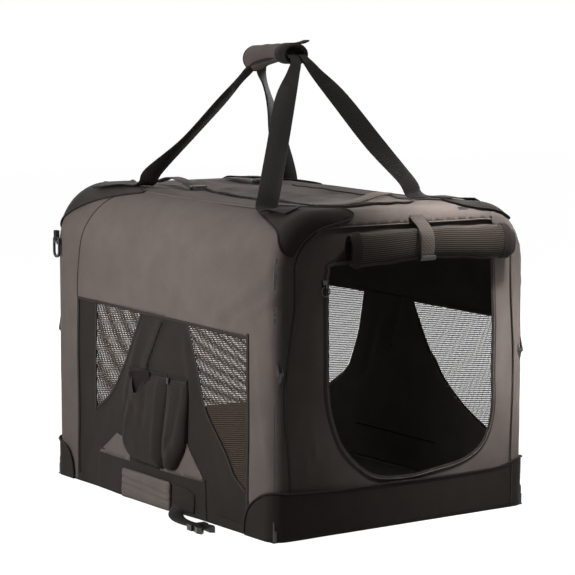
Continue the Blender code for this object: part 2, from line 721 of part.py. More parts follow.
def build_zip(arch):
    """The door zip's slider, parked at the top of its run, with a ring to pull."""
    face = -END_OUT - SEAT
    slider = pivot("door_zip_slide", (ZIP_X, face, ZIP_Z), arch)
    half = ZIP_SLIDER_WIDTH / 2
    waist = half * BUCKLE_WAIST_SHARE
    outline = [(ZIP_X - half, ZIP_Z + ZIP_SLIDER_HEIGHT), (ZIP_X - waist, ZIP_Z),
               (ZIP_X + waist, ZIP_Z), (ZIP_X + half, ZIP_Z + ZIP_SLIDER_HEIGHT)]
    body = prism(outline, "XZ", face - ZIP_SLIDER_DEPTH, face)
    ring_y = face - ZIP_SLIDER_DEPTH - SEAT - RING_WIRE
    ring_top = ZIP_Z + 2 * RING_WIRE
    post = RING_WIRE + SEAT
    staple = block((ZIP_X - post, ring_y - 2 * post, ring_top - 2 * post),
                   (ZIP_X + post, face - ZIP_SLIDER_DEPTH / 2, ring_top + 2 * post))
    eye = cylinder((ring_y, ring_top), "X", post, ZIP_X - CUT_OVERRUN, ZIP_X + CUT_OVERRUN, RING_STEPS)
    new_object("door_zip_slider", combine(body, add=[staple], cut=[eye]), ZINC, slider)

    swing = pivot("zip_pull_pivot", (ZIP_X, ring_y, ring_top), slider)
    ring = bmesh.new()
    bmesh.ops.create_circle(ring, segments=RING_STEPS, radius=RING_WIRE)
    for vert in ring.verts:
        vert.co = Vector((vert.co.x + RING_RADIUS, vert.co.y, 0))
    bmesh.ops.spin(ring, geom=ring.verts[:] + ring.edges[:], cent=(0, 0, 0), axis=(0, 1, 0),
                   angle=math.tau, steps=ROUND_STEPS, use_merge=True)
    bmesh.ops.translate(ring, verts=ring.verts, vec=(ZIP_X, ring_y, ring_top - RING_RADIUS))
    new_object("zip_pull_ring", ring, ZINC, swing, rounded=True)


def build_rear(base):
    """Rear legs, rear arch and the wall with the mesh window."""
    leg = pivot("rear_leg_pivot", (0, TUBE_Y, LEG_PIVOT_Z), base)
    arch = pivot("rear_knee_pivot", (0, KNEE_Y, KNEE_Z), leg)
    build_leg("rear_left_leg", -1, 1, leg)
    build_leg("rear_right_leg", 1, 1, leg)
    build_arch("rear_arch", 1, arch)
    low, high = end_band(1)
    half = VENT_HALF_WIDTH
    foot = (-half, half, VENT_BOTTOM, VENT_CORNER, VENT_CORNER)
    head = (-half, half, VENT_TOP, VENT_CORNER)
    new_object("rear_wall_lower", prism(lower_wall(foot), "XZ", low, high), GREY_CLOTH, leg)
    new_object("rear_wall_upper", prism(upper_wall(head), "XZ", low, high), GREY_CLOTH, arch)
    inner = half - SEAT
    corner = VENT_CORNER - SEAT
    top = KNEE_Z - KNEE_CLOTH_GAP / 2
    lower = [(inner, top)] + arc((half - VENT_CORNER, VENT_BOTTOM + VENT_CORNER), corner, 0, -90)
    lower += arc((VENT_CORNER - half, VENT_BOTTOM + VENT_CORNER), corner, -90, -180) + [(-inner, top)]
    bottom = KNEE_Z + KNEE_CLOTH_GAP / 2
    upper = [(-inner, bottom)] + arc((VENT_CORNER - half, VENT_TOP - VENT_CORNER), corner, 180, 90)
    upper += arc((half - VENT_CORNER, VENT_TOP - VENT_CORNER), corner, 90, 0) + [(inner, bottom)]
    new_object("rear_mesh_lower", prism(lower, "XZ", low, low + MESH_CLOTH), NET, leg)
    new_object("rear_mesh_upper", prism(upper, "XZ", low, low + MESH_CLOTH), NET, arch)


# Long walls
def side_band(side, outer, thickness):
    """A layer of cloth on a long wall along X, low value first."""
    far = side * outer
    near = side * (outer - thickness)
    return min(far, near), max(far, near)


def window_outline(margin):
    """The window in a long wall, open at the floor."""
    low = FLOOR_TOP + SEAT
    return rectangle((-WINDOW_FRONT + margin, low), (WINDOW_REAR - margin, WINDOW_TOP - margin))


def bell_edge(foot, top, shares):
    """The waisted edge of the bell-shaped panel, from its top down to its foot."""
    run, drop = foot[0] - top[0], foot[1] - top[1]
    return [top] + [(top[0] + run * across, top[1] + drop * down) for across, down in shares] + [foot]


def rear_mesh_outline(side_name, margin):
    """The pointed mesh window behind the bell."""
    top = WINDOW_TOP - MESH_TOP_BORDER - margin
    rear = REAR_MESH_EDGE - margin
    edge = bell_edge((rear, REAR_MESH_POINT + 2 * margin), (BELL_TOP_REAR[side_name] + margin, top),
                     BELL_REAR_SHARES[side_name])
    return [(rear, top)] + edge


def front_mesh_outline(side_name, margin):
    """The pointed mesh window in front of the bell."""
    top = WINDOW_TOP - MESH_TOP_BORDER - margin
    front = -FRONT_MESH_EDGE + margin
    point = FRONT_MESH_POINT[side_name] + 2 * margin
    shares = BELL_FRONT_SHARES[side_name]
    edge = bell_edge((front, point), (-BELL_TOP_FRONT[side_name] - margin, top), shares)
    return edge + [(front, top)]


def build_side(side_name, side, base):
    """One long wall: grey cloth over the shoulder, a dark window panel and two mesh windows."""
    low = FLOOR_TOP + SEAT
    outer = arc((SHOULDER_X, SHOULDER_Z), SHOULDER_RADIUS, 0, 90, SHOULDER_STEPS)
    inner = arc((SHOULDER_X, SHOULDER_Z), SHOULDER_RADIUS - FABRIC, 90, 0, SHOULDER_STEPS)
    section = [(HALF_WIDTH, low)] + outer + inner + [(SIDE_IN, low)]
    section = [(side * x, z) for x, z in section]
    wall = prism(section, "XZ", -END_OUT, END_OUT)
    reach = sorted((side * (SIDE_IN - CUT_OVERRUN), side * (HALF_WIDTH + CUT_OVERRUN)))
    hole = window_outline(0)
    hole = [(u, v if v > low else v - CUT_OVERRUN) for u, v in hole]
    cutter = prism(hole, "YZ", *reach)
    new_object(f"{side_name}_side_panel", combine(wall, cut=[cutter]), GREY_CLOTH, base)

    thin = side_band(side, HALF_WIDTH, FABRIC)
    panel = prism(window_outline(SEAT), "YZ", *thin)
    holes = [prism(rear_mesh_outline(side_name, 0), "YZ", *reach),
             prism(front_mesh_outline(side_name, 0), "YZ", *reach)]
    new_object(f"{side_name}_window_panel", combine(panel, cut=holes), DARK_CLOTH, base)

    net = side_band(side, HALF_WIDTH, MESH_CLOTH)
    new_object(f"{side_name}_rear_mesh", prism(rear_mesh_outline(side_name, SEAT), "YZ", *net), NET, base)
    new_object(f"{side_name}_front_mesh", prism(front_mesh_outline(side_name, SEAT), "YZ", *net), NET, base)


def pocket(name, rear, front, top, bottom, corner, base):
    """A gusseted pocket: flat at its mouth, full at its foot, round at its lower corners."""
    outline = arc((front + corner, bottom + corner), corner, 180, 270, CORNER_STEPS)
    outline += arc((rear - corner, bottom + corner), corner, 270, 360, CORNER_STEPS)
    outline += [(rear, top), (front, top)]
    wall = -HALF_WIDTH - SEAT
    solid = prism(outline, "YZ", wall - POUCH_DEPTH, wall)
    faces = [face for face in solid.faces if all(v.co.x < wall - SEAT for v in face.verts)]
    for vert in faces[0].verts:
        if vert.co.z > top - SEAT:
            vert.co.x = wall - POUCH_TOP_DEPTH
    bmesh.ops.bevel(solid, geom=faces[0].edges[:], offset=POUCH_ROUNDING, segments=BEVEL_STEPS,
                    profile=BEVEL_PROFILE, affect="EDGES")
    bmesh.ops.triangulate(solid, faces=solid.faces)
    new_object(name, solid, DARK_CLOTH, base, rounded=True)


def build_left_details(base):
    """Pockets, carry sleeve, and the free strap with its buckle on the floor."""
    pocket("left_pouch", POUCH_REAR, POUCH_SPLIT + SEAT, POUCH_TOP, POUCH_BOTTOM,
           POUCH_CORNER, base)
    pocket("left_zip_pocket", POUCH_SPLIT - SEAT, POUCH_FRONT, POUCH_TOP, ZIP_POCKET_BOTTOM,
           ZIP_POCKET_CORNER, base)

    wall = -HALF_WIDTH - 2 * SEAT - FABRIC
    sleeve = block((wall - CARRY_SLEEVE_THICKNESS, CARRY_SLEEVE_FRONT, SEAT),
                   (wall, CARRY_SLEEVE_REAR, CARRY_SLEEVE_TOP))
    edges = [edge for edge in sleeve.edges if all(v.co.x < wall - SEAT for v in edge.verts)]
    bmesh.ops.bevel(sleeve, geom=edges, offset=CARRY_SLEEVE_ROUNDING, segments=BEVEL_STEPS,
                    profile=BEVEL_PROFILE, affect="EDGES")
    new_object("left_carry_sleeve", sleeve, GREY_CLOTH, base, rounded=True)

    places = smooth_route([(-HALF_WIDTH - out, y, z) for out, y, z in STRAP_ROUTE])
    sides = smooth_route(STRAP_WIDTH_SHARES)
    stations = []
    for index, (place, side) in enumerate(zip(places, sides)):
        ahead = places[min(index + 1, len(places) - 1)] - places[max(index - 1, 0)]
        lift = ahead.cross(side).normalized()
        side = lift.cross(ahead).normalized()
        stations.append((place, side * TAIL_WIDTH / 2, lift * TAIL_THICKNESS / 2))
    new_object("free_strap", ribbon(stations), WEBBING, base)
    build_buckle(places[-1], places[-1] - places[-2], base)


def build_buckle(place, ahead, base):
    """The half of a side-release buckle that ends the free strap, lying on the floor."""
    half = BUCKLE_WIDTH / 2
    prong = half * BUCKLE_PRONG_SHARE
    waist = half * BUCKLE_WAIST_SHARE
    root = BUCKLE_LENGTH * BUCKLE_PRONG_SHARE
    tip = BUCKLE_LENGTH * BUCKLE_WAIST_SHARE
    right = [(half, 0), (half, root), (waist, root), (half, tip), (waist, BUCKLE_LENGTH),
             (prong, BUCKLE_LENGTH - prong), (prong, root)]
    left = [(-u, v) for u, v in reversed(right)]
    solid = prism(left + right, "XY", -BUCKLE_THICKNESS / 2, BUCKLE_THICKNESS / 2)
    angle = math.atan2(ahead.y, ahead.x) - math.pi / 2
    cosine, sine = math.cos(angle), math.sin(angle)
    start = place + ahead.normalized() * SEAT
    for vert in solid.verts:
        u, v, w = vert.co
        vert.co = Vector((start.x + u * cosine - v * sine, start.y + u * sine + v * cosine,
                          BUCKLE_THICKNESS / 2 + w))
    new_object("free_strap_buckle", solid, ACETAL, base)


# Roof
def build_roof(arch):
    """Roof cloth with its hatch opening, the two rods, the hatch and what is sewn to the roof."""
    roof = pivot("roof_pivot", (0, -TUBE_Y, ARCH_TOP), arch)
    top = CRATE_HEIGHT
    flat = SHOULDER_X - SEAT
    cloth = block((-flat, -HALF_LENGTH, ROOF_IN), (flat, HALF_LENGTH, top))
    valances = []
    for end in (-1, 1):
        band = sorted((end * HALF_LENGTH, end * (HALF_LENGTH - FABRIC)))
        valances.append(prism(shoulder_arch(0, VALANCE_Z), "XZ", *band))
    hole = prism(hatch_outline(0), "XY", ROOF_IN - CUT_OVERRUN, top + CUT_OVERRUN)
    new_object("roof_panel", combine(cloth, add=valances, cut=[hole]), GREY_CLOTH, roof)

    for name, x in (("left_roof_rod", -ROD_SPACING / 2), ("right_roof_rod", ROD_SPACING / 2)):
        new_object(name, roof_rod(x), STEEL, roof, rounded=True)

    flap = prism(hatch_flap_outline(), "XY", ROOF_IN, top)
    new_object("hatch_flap", flap, GREY_CLOTH, roof)
    hem_y = -HATCH_FRONT + SEAT
    hem_half = HATCH_WIDTH / 2 - HATCH_CORNER
    slide = pivot("hatch_slide", (0, hem_y, ROOF_IN), roof)
    hem = block((-hem_half, hem_y, ROOF_IN), (hem_half, hem_y + HEM_WIDTH, ROOF_IN + HEM_THICKNESS))
    new_object("hatch_hem", hem, DARK_CLOTH, slide)

    for name, x in (("left_roof_tie", -TIE_OFFSET), ("right_roof_tie", TIE_OFFSET)):
        build_roof_tie(name, x, roof)
    for end_name, end in (("front", -1), ("rear", 1)):
        for side_name, side in (("left", -1), ("right", 1)):
            patch = corner_patch(side, end)
            new_object(f"{end_name}_{side_name}_corner_patch", patch, DARK_CLOTH, roof)
    build_rolled_door(roof)
    build_hanger(roof)
    return roof


def hatch_outline(margin):
    """The roof opening: square at its hinge line, round at its two front corners."""
    half = HATCH_WIDTH / 2 - margin
    rear, front = HATCH_REAR - margin, -HATCH_FRONT + margin
    centre_x = HATCH_WIDTH / 2 - HATCH_CORNER
    centre_y = -HATCH_FRONT + HATCH_CORNER
    radius = HATCH_CORNER - margin
    return ([(half, rear), (-half, rear)] + arc((-centre_x, centre_y), radius, 180, 270)
            + arc((centre_x, centre_y), radius, 270, 360))


def hatch_flap_outline():
    """The hatch cloth, which leaves the hem's strip free at its front edge."""
    outline = hatch_outline(SEAT)
    hem_half = HATCH_WIDTH / 2 - HATCH_CORNER + SEAT
    inner = -HATCH_FRONT + HEM_WIDTH + 2 * SEAT
    front = -HATCH_FRONT + SEAT
    shaped = []
    for x, y in outline:
        if y < front + SEAT:
            x = -hem_half if x < 0 else hem_half
            pair = [(x, y), (x, inner)] if x < 0 else [(x, inner), (x, y)]
            shaped += pair
        else:
            shaped.append((x, y))
    return shaped


def roof_rod(x):
    """A rod from front to rear with a sleeve round each arch's top bar."""
    reach = TUBE_Y - TUBE_RADIUS - SLEEVE_WALL / 2
    rod = cylinder((x, ARCH_TOP), "Y", ROD_RADIUS, -reach, reach, PIN_STEPS)
    sleeves, bores = [], []
    for end in (-1, 1):
        centre = (end * TUBE_Y, ARCH_TOP)
        half = SLEEVE_LENGTH / 2
        sleeves.append(cylinder(centre, "X", SLEEVE_RADIUS, x - half, x + half))
        bores.append(cylinder(centre, "X", TUBE_RADIUS + SEAT, x - SLEEVE_LENGTH, x + SLEEVE_LENGTH))
    return combine(rod, add=sleeves, cut=bores)


def build_roof_tie(name, x, roof):
    """A webbing tie that would hold the rolled hatch, lying on the roof, with its end stop."""
    low = CRATE_HEIGHT + SEAT
    near = HATCH_REAR + TIE_GAP
    left, right = x - TIE_WIDTH / 2, x + TIE_WIDTH / 2
    band = block((left, near, low), (right, near + TIE_LENGTH, low + TIE_THICKNESS))
    stop = block((left, near, low), (right, near + TIE_STOP_LENGTH, low + TIE_STOP_HEIGHT))
    new_object(name, combine(band, add=[stop]), GREY_WEBBING, roof)


def corner_patch(side, end):
    """A dark cap over a top corner, with a rounded lobe on the roof side, wall and end."""
    skin = FABRIC
    low = CRATE_HEIGHT - PATCH_DROP
    shell = shoulder_arch(-SEAT - skin, low)
    inside = shoulder_arch(-SEAT, low - CUT_OVERRUN)
    far = HALF_LENGTH + SEAT + skin
    near = HALF_LENGTH - PATCH_RUN
    solid = prism(shell, "XZ", *sorted((end * near, end * far)))
    hollow = prism(inside, "XZ", *sorted((end * (near - CUT_OVERRUN), end * (HALF_LENGTH + SEAT))))
    wide = HALF_WIDTH + CUT_OVERRUN
    deep = sorted((end * (near - CUT_OVERRUN), end * (far + CUT_OVERRUN)))
    tall = CRATE_HEIGHT + CUT_OVERRUN
    across = sorted((-side * wide, side * PATCH_ROOF_REACH))
    middle = block((across[0], deep[0], low - CUT_OVERRUN), (across[1], deep[1], tall))
    foot = near + PATCH_RUN - PATCH_LOBE
    lobe = [(end * near, low - CUT_OVERRUN), (end * near, low + PATCH_LOBE),
            (end * foot, low + SEAT), (end * foot, low - CUT_OVERRUN)]
    below = prism(lobe, "YZ", *sorted((side * (HALF_WIDTH - skin), side * wide)))
    return combine(solid, cut=[hollow, middle, below])


def ellipse_point(angle, grow):
    """A point on the rolled door's section, in the YZ plane."""
    return (-ROLL_Y - (ROLL_HALF_DEPTH + grow) * math.cos(angle),
            ROLL_Z + (ROLL_HALF_HEIGHT + grow) * math.sin(angle))


def build_rolled_door(roof):
    """The mesh door, rolled up, and the webbing tie that hangs over it."""
    section = []
    for step in range(ROLL_STEPS):
        turn = step / ROLL_STEPS
        inward = ROLL_STEP_SHARE * turn * ROLL_HALF_DEPTH
        angle = math.tau * turn - math.radians(ROLL_EDGE_ANGLE)
        section.append(ellipse_point(angle, -inward))
    new_object("rolled_door", prism(section, "YZ", ROLL_LEFT, ROLL_RIGHT), NET, roof, rounded=True)

    half = TIE_THICKNESS / 2
    band_x = DOOR_TIE_LEFT + DOOR_TIE_WIDTH / 2
    hinge = (-HALF_LENGTH - SEAT - half, ROLL_Z + ROLL_HALF_HEIGHT + DOOR_TIE_RISE)
    tie = pivot("door_tie_pivot", (band_x, *hinge), roof)
    line = [hinge]
    for degrees in DOOR_TIE_ANGLES:
        line.append(ellipse_point(math.radians(degrees), SEAT + half))
    last = line[-1]
    line.append((last[0], last[1] - DOOR_TIE_TAIL))
    stations = []
    for index, (y, z) in enumerate(line):
        before, after = line[max(index - 1, 0)], line[min(index + 1, len(line) - 1)]
        ahead = Vector((0, after[0] - before[0], after[1] - before[1])).normalized()
        lift = Vector((0, ahead.z, -ahead.y))
        stations.append(((band_x, y, z), (DOOR_TIE_WIDTH / 2, 0, 0), lift * half))
    new_object("door_tie", ribbon(stations), GREY_WEBBING, tie)
    toggle_y, toggle_z = line[-1][0], line[-1][1] - SEAT - TOGGLE_RADIUS
    toggle = cylinder((toggle_y, toggle_z), "X", TOGGLE_RADIUS, band_x - TOGGLE_LENGTH / 2,
                      band_x + TOGGLE_LENGTH / 2, PIN_STEPS)
    new_object("door_tie_toggle", toggle, ACETAL, tie, rounded=True)


def build_hanger(roof):
    """A webbing loop on the rear left corner patch, and the clip that hangs in it by a round bar."""
    patch_foot = CRATE_HEIGHT - PATCH_DROP
    face = -HALF_WIDTH - 2 * SEAT - FABRIC
    hole = HANGER_BAR_RADIUS + RUNNING_GAP
    outer = hole + HANGER_LOOP_WALL
    x, z = face - outer, patch_foot + HANGER_LOOP_TAIL + outer
    y = HALF_LENGTH - HANGER_WIDTH / 2 - HANGER_WALL
    half = HANGER_LOOP_WIDTH / 2
    top = z + HANGER_LOOP_RISE
    ring = arc((x, z), outer, 180, 270, CORNER_STEPS) + [(x + hole, z - outer)]
    ring += [(x + hole, patch_foot + SEAT), (face, patch_foot + SEAT), (face, top), (x - outer, top)]
    gap = arc((x, z), hole, 180, 360)
    gap += [(x + hole, top - HANGER_LOOP_WALL), (x - hole, top - HANGER_LOOP_WALL)]
    loop = combine(prism(ring, "XZ", y - half, y + half),
                   cut=[prism(gap, "XZ", y - half - CUT_OVERRUN, y + half + CUT_OVERRUN)])
    new_object("corner_clip_loop", loop, WEBBING, roof, rounded=True)

    swing = pivot("corner_clip_pivot", (x, y, z), roof)
    wide = HANGER_WIDTH / 2
    low = z - HANGER_LENGTH
    post = half + RUNNING_GAP
    eye = z - outer - RUNNING_GAP
    body = arc((y, low + wide), wide, 180, 360) + [(y + wide, eye - HANGER_WALL), (y + wide - SEAT, z)]
    body += [(y - wide + SEAT, z), (y - wide, eye - HANGER_WALL)]
    gate = arc((y, low + wide), wide - HANGER_WALL, 180, 360)
    gate += [(y + wide - HANGER_WALL, eye - HANGER_WALL), (y - wide + HANGER_WALL, eye - HANGER_WALL)]
    thick = HANGER_BAR_RADIUS
    plate = prism(body, "YZ", x - thick, x + thick)
    through = thick + CUT_OVERRUN
    window = prism(gate, "YZ", x - through, x + through)
    slot = block((x - through, y - post, eye), (x + through, y + post, z + CUT_OVERRUN))
    plate = combine(plate, cut=[window, slot])
    bar = cylinder((x, z), "Y", thick, y - wide + SEAT, y + wide - SEAT, PIN_STEPS)
    new_object("corner_clip", combine(plate, add=[bar]), ACETAL, swing)


# Carrying handle
def build_handle(roof):
    """Two webbing loops that meet in a wrapped grip above the roof."""
    handle = pivot("handle_drop", (0, GRIP_CENTRE_Y, GRIP_HEIGHT), roof)
    front = GRIP_CENTRE_Y - GRIP_LENGTH / 2
    rear = GRIP_CENTRE_Y + GRIP_LENGTH / 2
    for name, side, side_name in (("left_carry_loop", -1, "left"), ("right_carry_loop", 1, "right")):
        new_object(name, ribbon(loop_stations(side, side_name, front, rear)), WEBBING, roof)

    def oval(grow):
        points = []
        for step in range(ROUND_STEPS):
            angle = math.tau * step / ROUND_STEPS
            points.append(((GRIP_HALF_WIDTH + grow) * math.cos(angle),
                           GRIP_HEIGHT + (GRIP_HALF_HEIGHT + grow) * math.sin(angle)))
        return points

    grip = prism(oval(0), "XZ", front, rear)
    bore = prism(oval(-GRIP_WALL), "XZ", front - CUT_OVERRUN, rear + CUT_OVERRUN)
    new_object("handle_wrap", combine(grip, cut=[bore]), GREY_CLOTH, handle, rounded=True)

    hinge_z = GRIP_HEIGHT + GRIP_HALF_HEIGHT + SEAT + FLAP_THICKNESS / 2
    flap_pivot = pivot("wrap_flap_pivot", (0, GRIP_CENTRE_Y, hinge_z), handle)
    stations = []
    half = FLAP_THICKNESS / 2
    for step in range(ROUND_STEPS // 4, -2, -1):
        angle = math.tau * step / ROUND_STEPS
        reach_x = (GRIP_HALF_WIDTH + RUNNING_GAP + half) * math.cos(angle)
        reach_z = (GRIP_HALF_HEIGHT + RUNNING_GAP + half) * math.sin(angle)
        out = Vector((math.cos(angle) / GRIP_HALF_WIDTH, 0, math.sin(angle) / GRIP_HALF_HEIGHT))
        stations.append(((reach_x, front + FLAP_LENGTH / 2, GRIP_HEIGHT + reach_z),
                         (0, FLAP_LENGTH / 2, 0), out.normalized() * half))
    new_object("wrap_flap", ribbon(stations), DARK_CLOTH, flap_pivot)


def loop_stations(side, side_name, front, rear):
    """One loop: corner patch, up to the grip, through it and down to the other corner patch."""
    stations = []
    patch_top = 2 * SEAT + FABRIC + WEBBING_THICKNESS / 2 + SEAT
    reach = SHOULDER_RADIUS + patch_top
    anchor_x = side * STRAP_ANCHOR_X
    anchor_z = SHOULDER_Z + math.sqrt(reach ** 2 - (STRAP_ANCHOR_X - SHOULDER_X) ** 2)
    tilt = math.asin((STRAP_ANCHOR_X - SHOULDER_X) / reach)
    grip_x = side * LOOP_OFFSET
    for end, mouth in ((-1, front), (1, rear)):
        key = side_name + ("_front" if end < 0 else "_rear")
        share_x, share_y = STRAP_LANDING_SHARES[key]
        land = Vector((share_x * HALF_WIDTH, share_y * HALF_LENGTH,
                       CRATE_HEIGHT + patch_top + STRAP_LANDING_RISE))
        top = Vector((grip_x, mouth, GRIP_HEIGHT))
        run = Vector((top.x - land.x, top.y - land.y, 0))
        across = Vector((run.y, -run.x, 0)).normalized()
        if across.x * side < 0:
            across = -across
        half = WEBBING_WIDTH / 2
        anchor = Vector((anchor_x, end * STRAP_ANCHOR_Y, anchor_z))
        part = [(anchor, Vector((half * math.cos(tilt), 0, -side * half * math.sin(tilt))))]
        for share in STRAP_FLAT_SHARES:
            part.append((land.lerp(top, share), across * half * side))
        folded = Vector((FOLDED_WIDTH / 2, 0, 0))
        part.append((top + Vector((0, end * FOLDED_WIDTH, 0)), folded))
        part.append((top, folded))
        if end > 0:
            part.reverse()
        stations += part
    finished = []
    for index, (place, across) in enumerate(stations):
        ahead = stations[min(index + 1, len(stations) - 1)][0] - stations[max(index - 1, 0)][0]
        lift = across.cross(ahead).normalized()
        if lift.z < 0:
            lift = -lift
        narrow = across.length < WEBBING_WIDTH / 2 - SEAT
        thick = FOLDED_THICKNESS if narrow else WEBBING_THICKNESS
        finished.append((place, across, lift * thick / 2))
    return finished


base_pivot = build_base()
front_arch_pivot = build_front(base_pivot)
build_rear(base_pivot)
build_side("left", -1, base_pivot)
build_side("right", 1, base_pivot)
build_left_details(base_pivot)
roof_pivot = build_roof(front_arch_pivot)
build_handle(roof_pivot)
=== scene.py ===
# %% [markdown]
# # A soft folding dog crate
# On the real object a cloth tent is stretched over a hinged steel frame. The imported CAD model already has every
# tube and panel in its place, so this lesson dresses it: each step sews, rolls or moulds one kind of piece where
# the frame says that it goes.

import json
import math

import bmesh
import bpy
from mathutils import Matrix, Vector, noise
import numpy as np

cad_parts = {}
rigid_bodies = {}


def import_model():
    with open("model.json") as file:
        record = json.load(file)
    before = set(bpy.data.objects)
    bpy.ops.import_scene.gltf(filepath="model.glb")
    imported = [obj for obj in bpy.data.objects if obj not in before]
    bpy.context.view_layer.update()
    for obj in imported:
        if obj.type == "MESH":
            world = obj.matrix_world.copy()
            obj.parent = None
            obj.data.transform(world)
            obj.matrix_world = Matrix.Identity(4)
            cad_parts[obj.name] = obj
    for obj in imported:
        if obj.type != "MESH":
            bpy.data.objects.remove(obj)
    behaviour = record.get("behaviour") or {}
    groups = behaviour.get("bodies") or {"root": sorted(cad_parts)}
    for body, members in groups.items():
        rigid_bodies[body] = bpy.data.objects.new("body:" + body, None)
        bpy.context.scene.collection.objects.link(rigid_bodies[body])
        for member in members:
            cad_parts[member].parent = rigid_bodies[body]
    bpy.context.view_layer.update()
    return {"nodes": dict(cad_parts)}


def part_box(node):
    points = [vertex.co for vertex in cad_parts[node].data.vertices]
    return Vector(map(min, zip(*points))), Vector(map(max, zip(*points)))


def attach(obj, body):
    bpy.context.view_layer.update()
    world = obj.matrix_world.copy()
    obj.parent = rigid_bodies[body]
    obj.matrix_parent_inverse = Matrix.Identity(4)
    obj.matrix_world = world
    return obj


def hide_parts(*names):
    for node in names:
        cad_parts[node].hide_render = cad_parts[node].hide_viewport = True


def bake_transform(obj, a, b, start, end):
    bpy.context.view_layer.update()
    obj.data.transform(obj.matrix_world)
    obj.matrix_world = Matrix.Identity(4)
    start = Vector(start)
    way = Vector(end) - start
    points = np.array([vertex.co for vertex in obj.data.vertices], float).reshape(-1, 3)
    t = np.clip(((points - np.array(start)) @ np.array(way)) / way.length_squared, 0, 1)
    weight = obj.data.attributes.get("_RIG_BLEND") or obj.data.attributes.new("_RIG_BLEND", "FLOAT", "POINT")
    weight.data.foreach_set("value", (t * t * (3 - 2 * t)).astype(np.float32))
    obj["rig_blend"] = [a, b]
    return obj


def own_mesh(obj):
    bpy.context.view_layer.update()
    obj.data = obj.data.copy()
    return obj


for leftover in list(bpy.data.objects):
    bpy.data.objects.remove(leftover)
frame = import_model()
scene = bpy.context.scene

# %% [markdown]
# ## Camera
# The photograph is a long lens's view from the crate's front left corner, a little above it. The place, turn and
# lens were worked out beforehand from the crate's corners, so the render can be laid over the photograph.

# %% Camera at the photograph's angle
camera_data = bpy.data.cameras.new("photo_camera")
camera_data.sensor_width = 36
camera_data.lens = 134.7939
camera_data.clip_end = 30
photo_camera = bpy.data.objects.new("photo_camera", camera_data)
photo_camera.location = (-2.15863922, -3.09238778, 0.78036563)
photo_camera.rotation_euler = (math.radians(83.629275), 0, math.radians(-35.057808))
scene.collection.objects.link(photo_camera)
scene.camera = photo_camera
print("lens", camera_data.lens)

# %% [markdown]
# ## The crate's sizes
# The cloth follows one shape: two upright sides, round shoulders and a flat roof. A point on it is found from two
# lengths of cloth, one along the crate and one round its girth, so that flat cut pieces can be laid on like paper.

# %% Sizes of the tent
HALF_LENGTH = 0.350
HALF_WIDTH = 0.260
HEIGHT = 0.520
SHOULDER = 0.095
CORNER = 0.022
ROOF_HALF = HALF_WIDTH - SHOULDER
TURN = SHOULDER * math.pi / 2
SIDE_RISE = HEIGHT - SHOULDER
GIRTH = ROOF_HALF + TURN + SIDE_RISE
SEAM = 0.185
KNEE_Z = 0.269
print("half the girth", round(GIRTH, 4))


# %% From cloth lengths to the tent
def soft_step(value, low, high):
    """0 below low, 1 above high, and an easy curve between them."""
    share = min(max((value - low) / (high - low), 0), 1)
    return share * share * (3 - 2 * share)


def crown(u, s):
    """How far the roof stands up over its rods: it is fuller towards the rear, as in the photograph."""
    level = 1 - soft_step(abs(s), ROOF_HALF - 0.02, ROOF_HALF + TURN)
    return level * (0.002 + 0.011 * soft_step(u, -0.20, 0.34))


def shell(u, s, out=0.0):
    """The point u along the crate and s round its girth from the roof's middle line, left being negative. Past the
    ends the cloth turns a soft corner and lies on the end wall."""
    side = -1 if s < 0 else 1
    t = abs(s)
    if t <= ROOF_HALF:
        x, z, nx, nz = t, HEIGHT, 0, 1
    elif t <= ROOF_HALF + TURN:
        angle = (t - ROOF_HALF) / SHOULDER
        nx, nz = math.sin(angle), math.cos(angle)
        x, z = ROOF_HALF + SHOULDER * nx, SIDE_RISE + SHOULDER * nz
    else:
        x, z, nx, nz = HALF_WIDTH, SIDE_RISE - (t - ROOF_HALF - TURN), 1, 0
    out = out + crown(u, s)
    end = 1 if u > 0 else -1
    reach = abs(u) - (HALF_LENGTH - CORNER)
    if reach <= 0:
        y, inward = u, -out
    else:
        angle = min(reach / CORNER, math.pi / 2)
        radius = CORNER + out
        y = end * (HALF_LENGTH - CORNER + radius * math.sin(angle))
        inward = CORNER - radius * math.cos(angle) + max(0, reach - CORNER * math.pi / 2)
    return Vector((side * (x - nx * inward), y, z - nz * inward))


def wrapped(inward):
    """The length along the crate at which the cloth has gone that far in from the corner, on the end wall."""
    if inward >= CORNER:
        return HALF_LENGTH - CORNER + CORNER * math.pi / 2 + inward - CORNER
    return HALF_LENGTH - CORNER + CORNER * math.acos(1 - inward / CORNER)


print("cloth turned in 30 mm on an end wall lies at", round(wrapped(0.030), 4))

# %% [markdown]
# ## Folds
# Stretched cloth isn't flat: it is pulled into long soft ridges between its corners, and creased from lying
# folded. Each ridge is a line with a width and a height, and a little smooth noise fills in between.


# %% Ridges and waves in the cloth
def ridge(point, start, end, width, height):
    """How far one soft ridge lifts the cloth at a point, in flat cloth lengths."""
    line = Vector(end) - Vector(start)
    share = (point - Vector(start)).dot(line) / line.length_squared
    near = min(max(share, 0), 1)
    gap = (point - Vector(start) - line * near).length
    fade = soft_step(near, 0, 0.25) * (1 - soft_step(near, 0.75, 1))
    return height * fade * math.exp(-(gap / width) ** 2)


def waves(a, b, size, height, seed):
    """Smooth noise over the cloth, size metres from hill to hill."""
    return height * noise.noise(Vector((a / size, b / size, seed)))


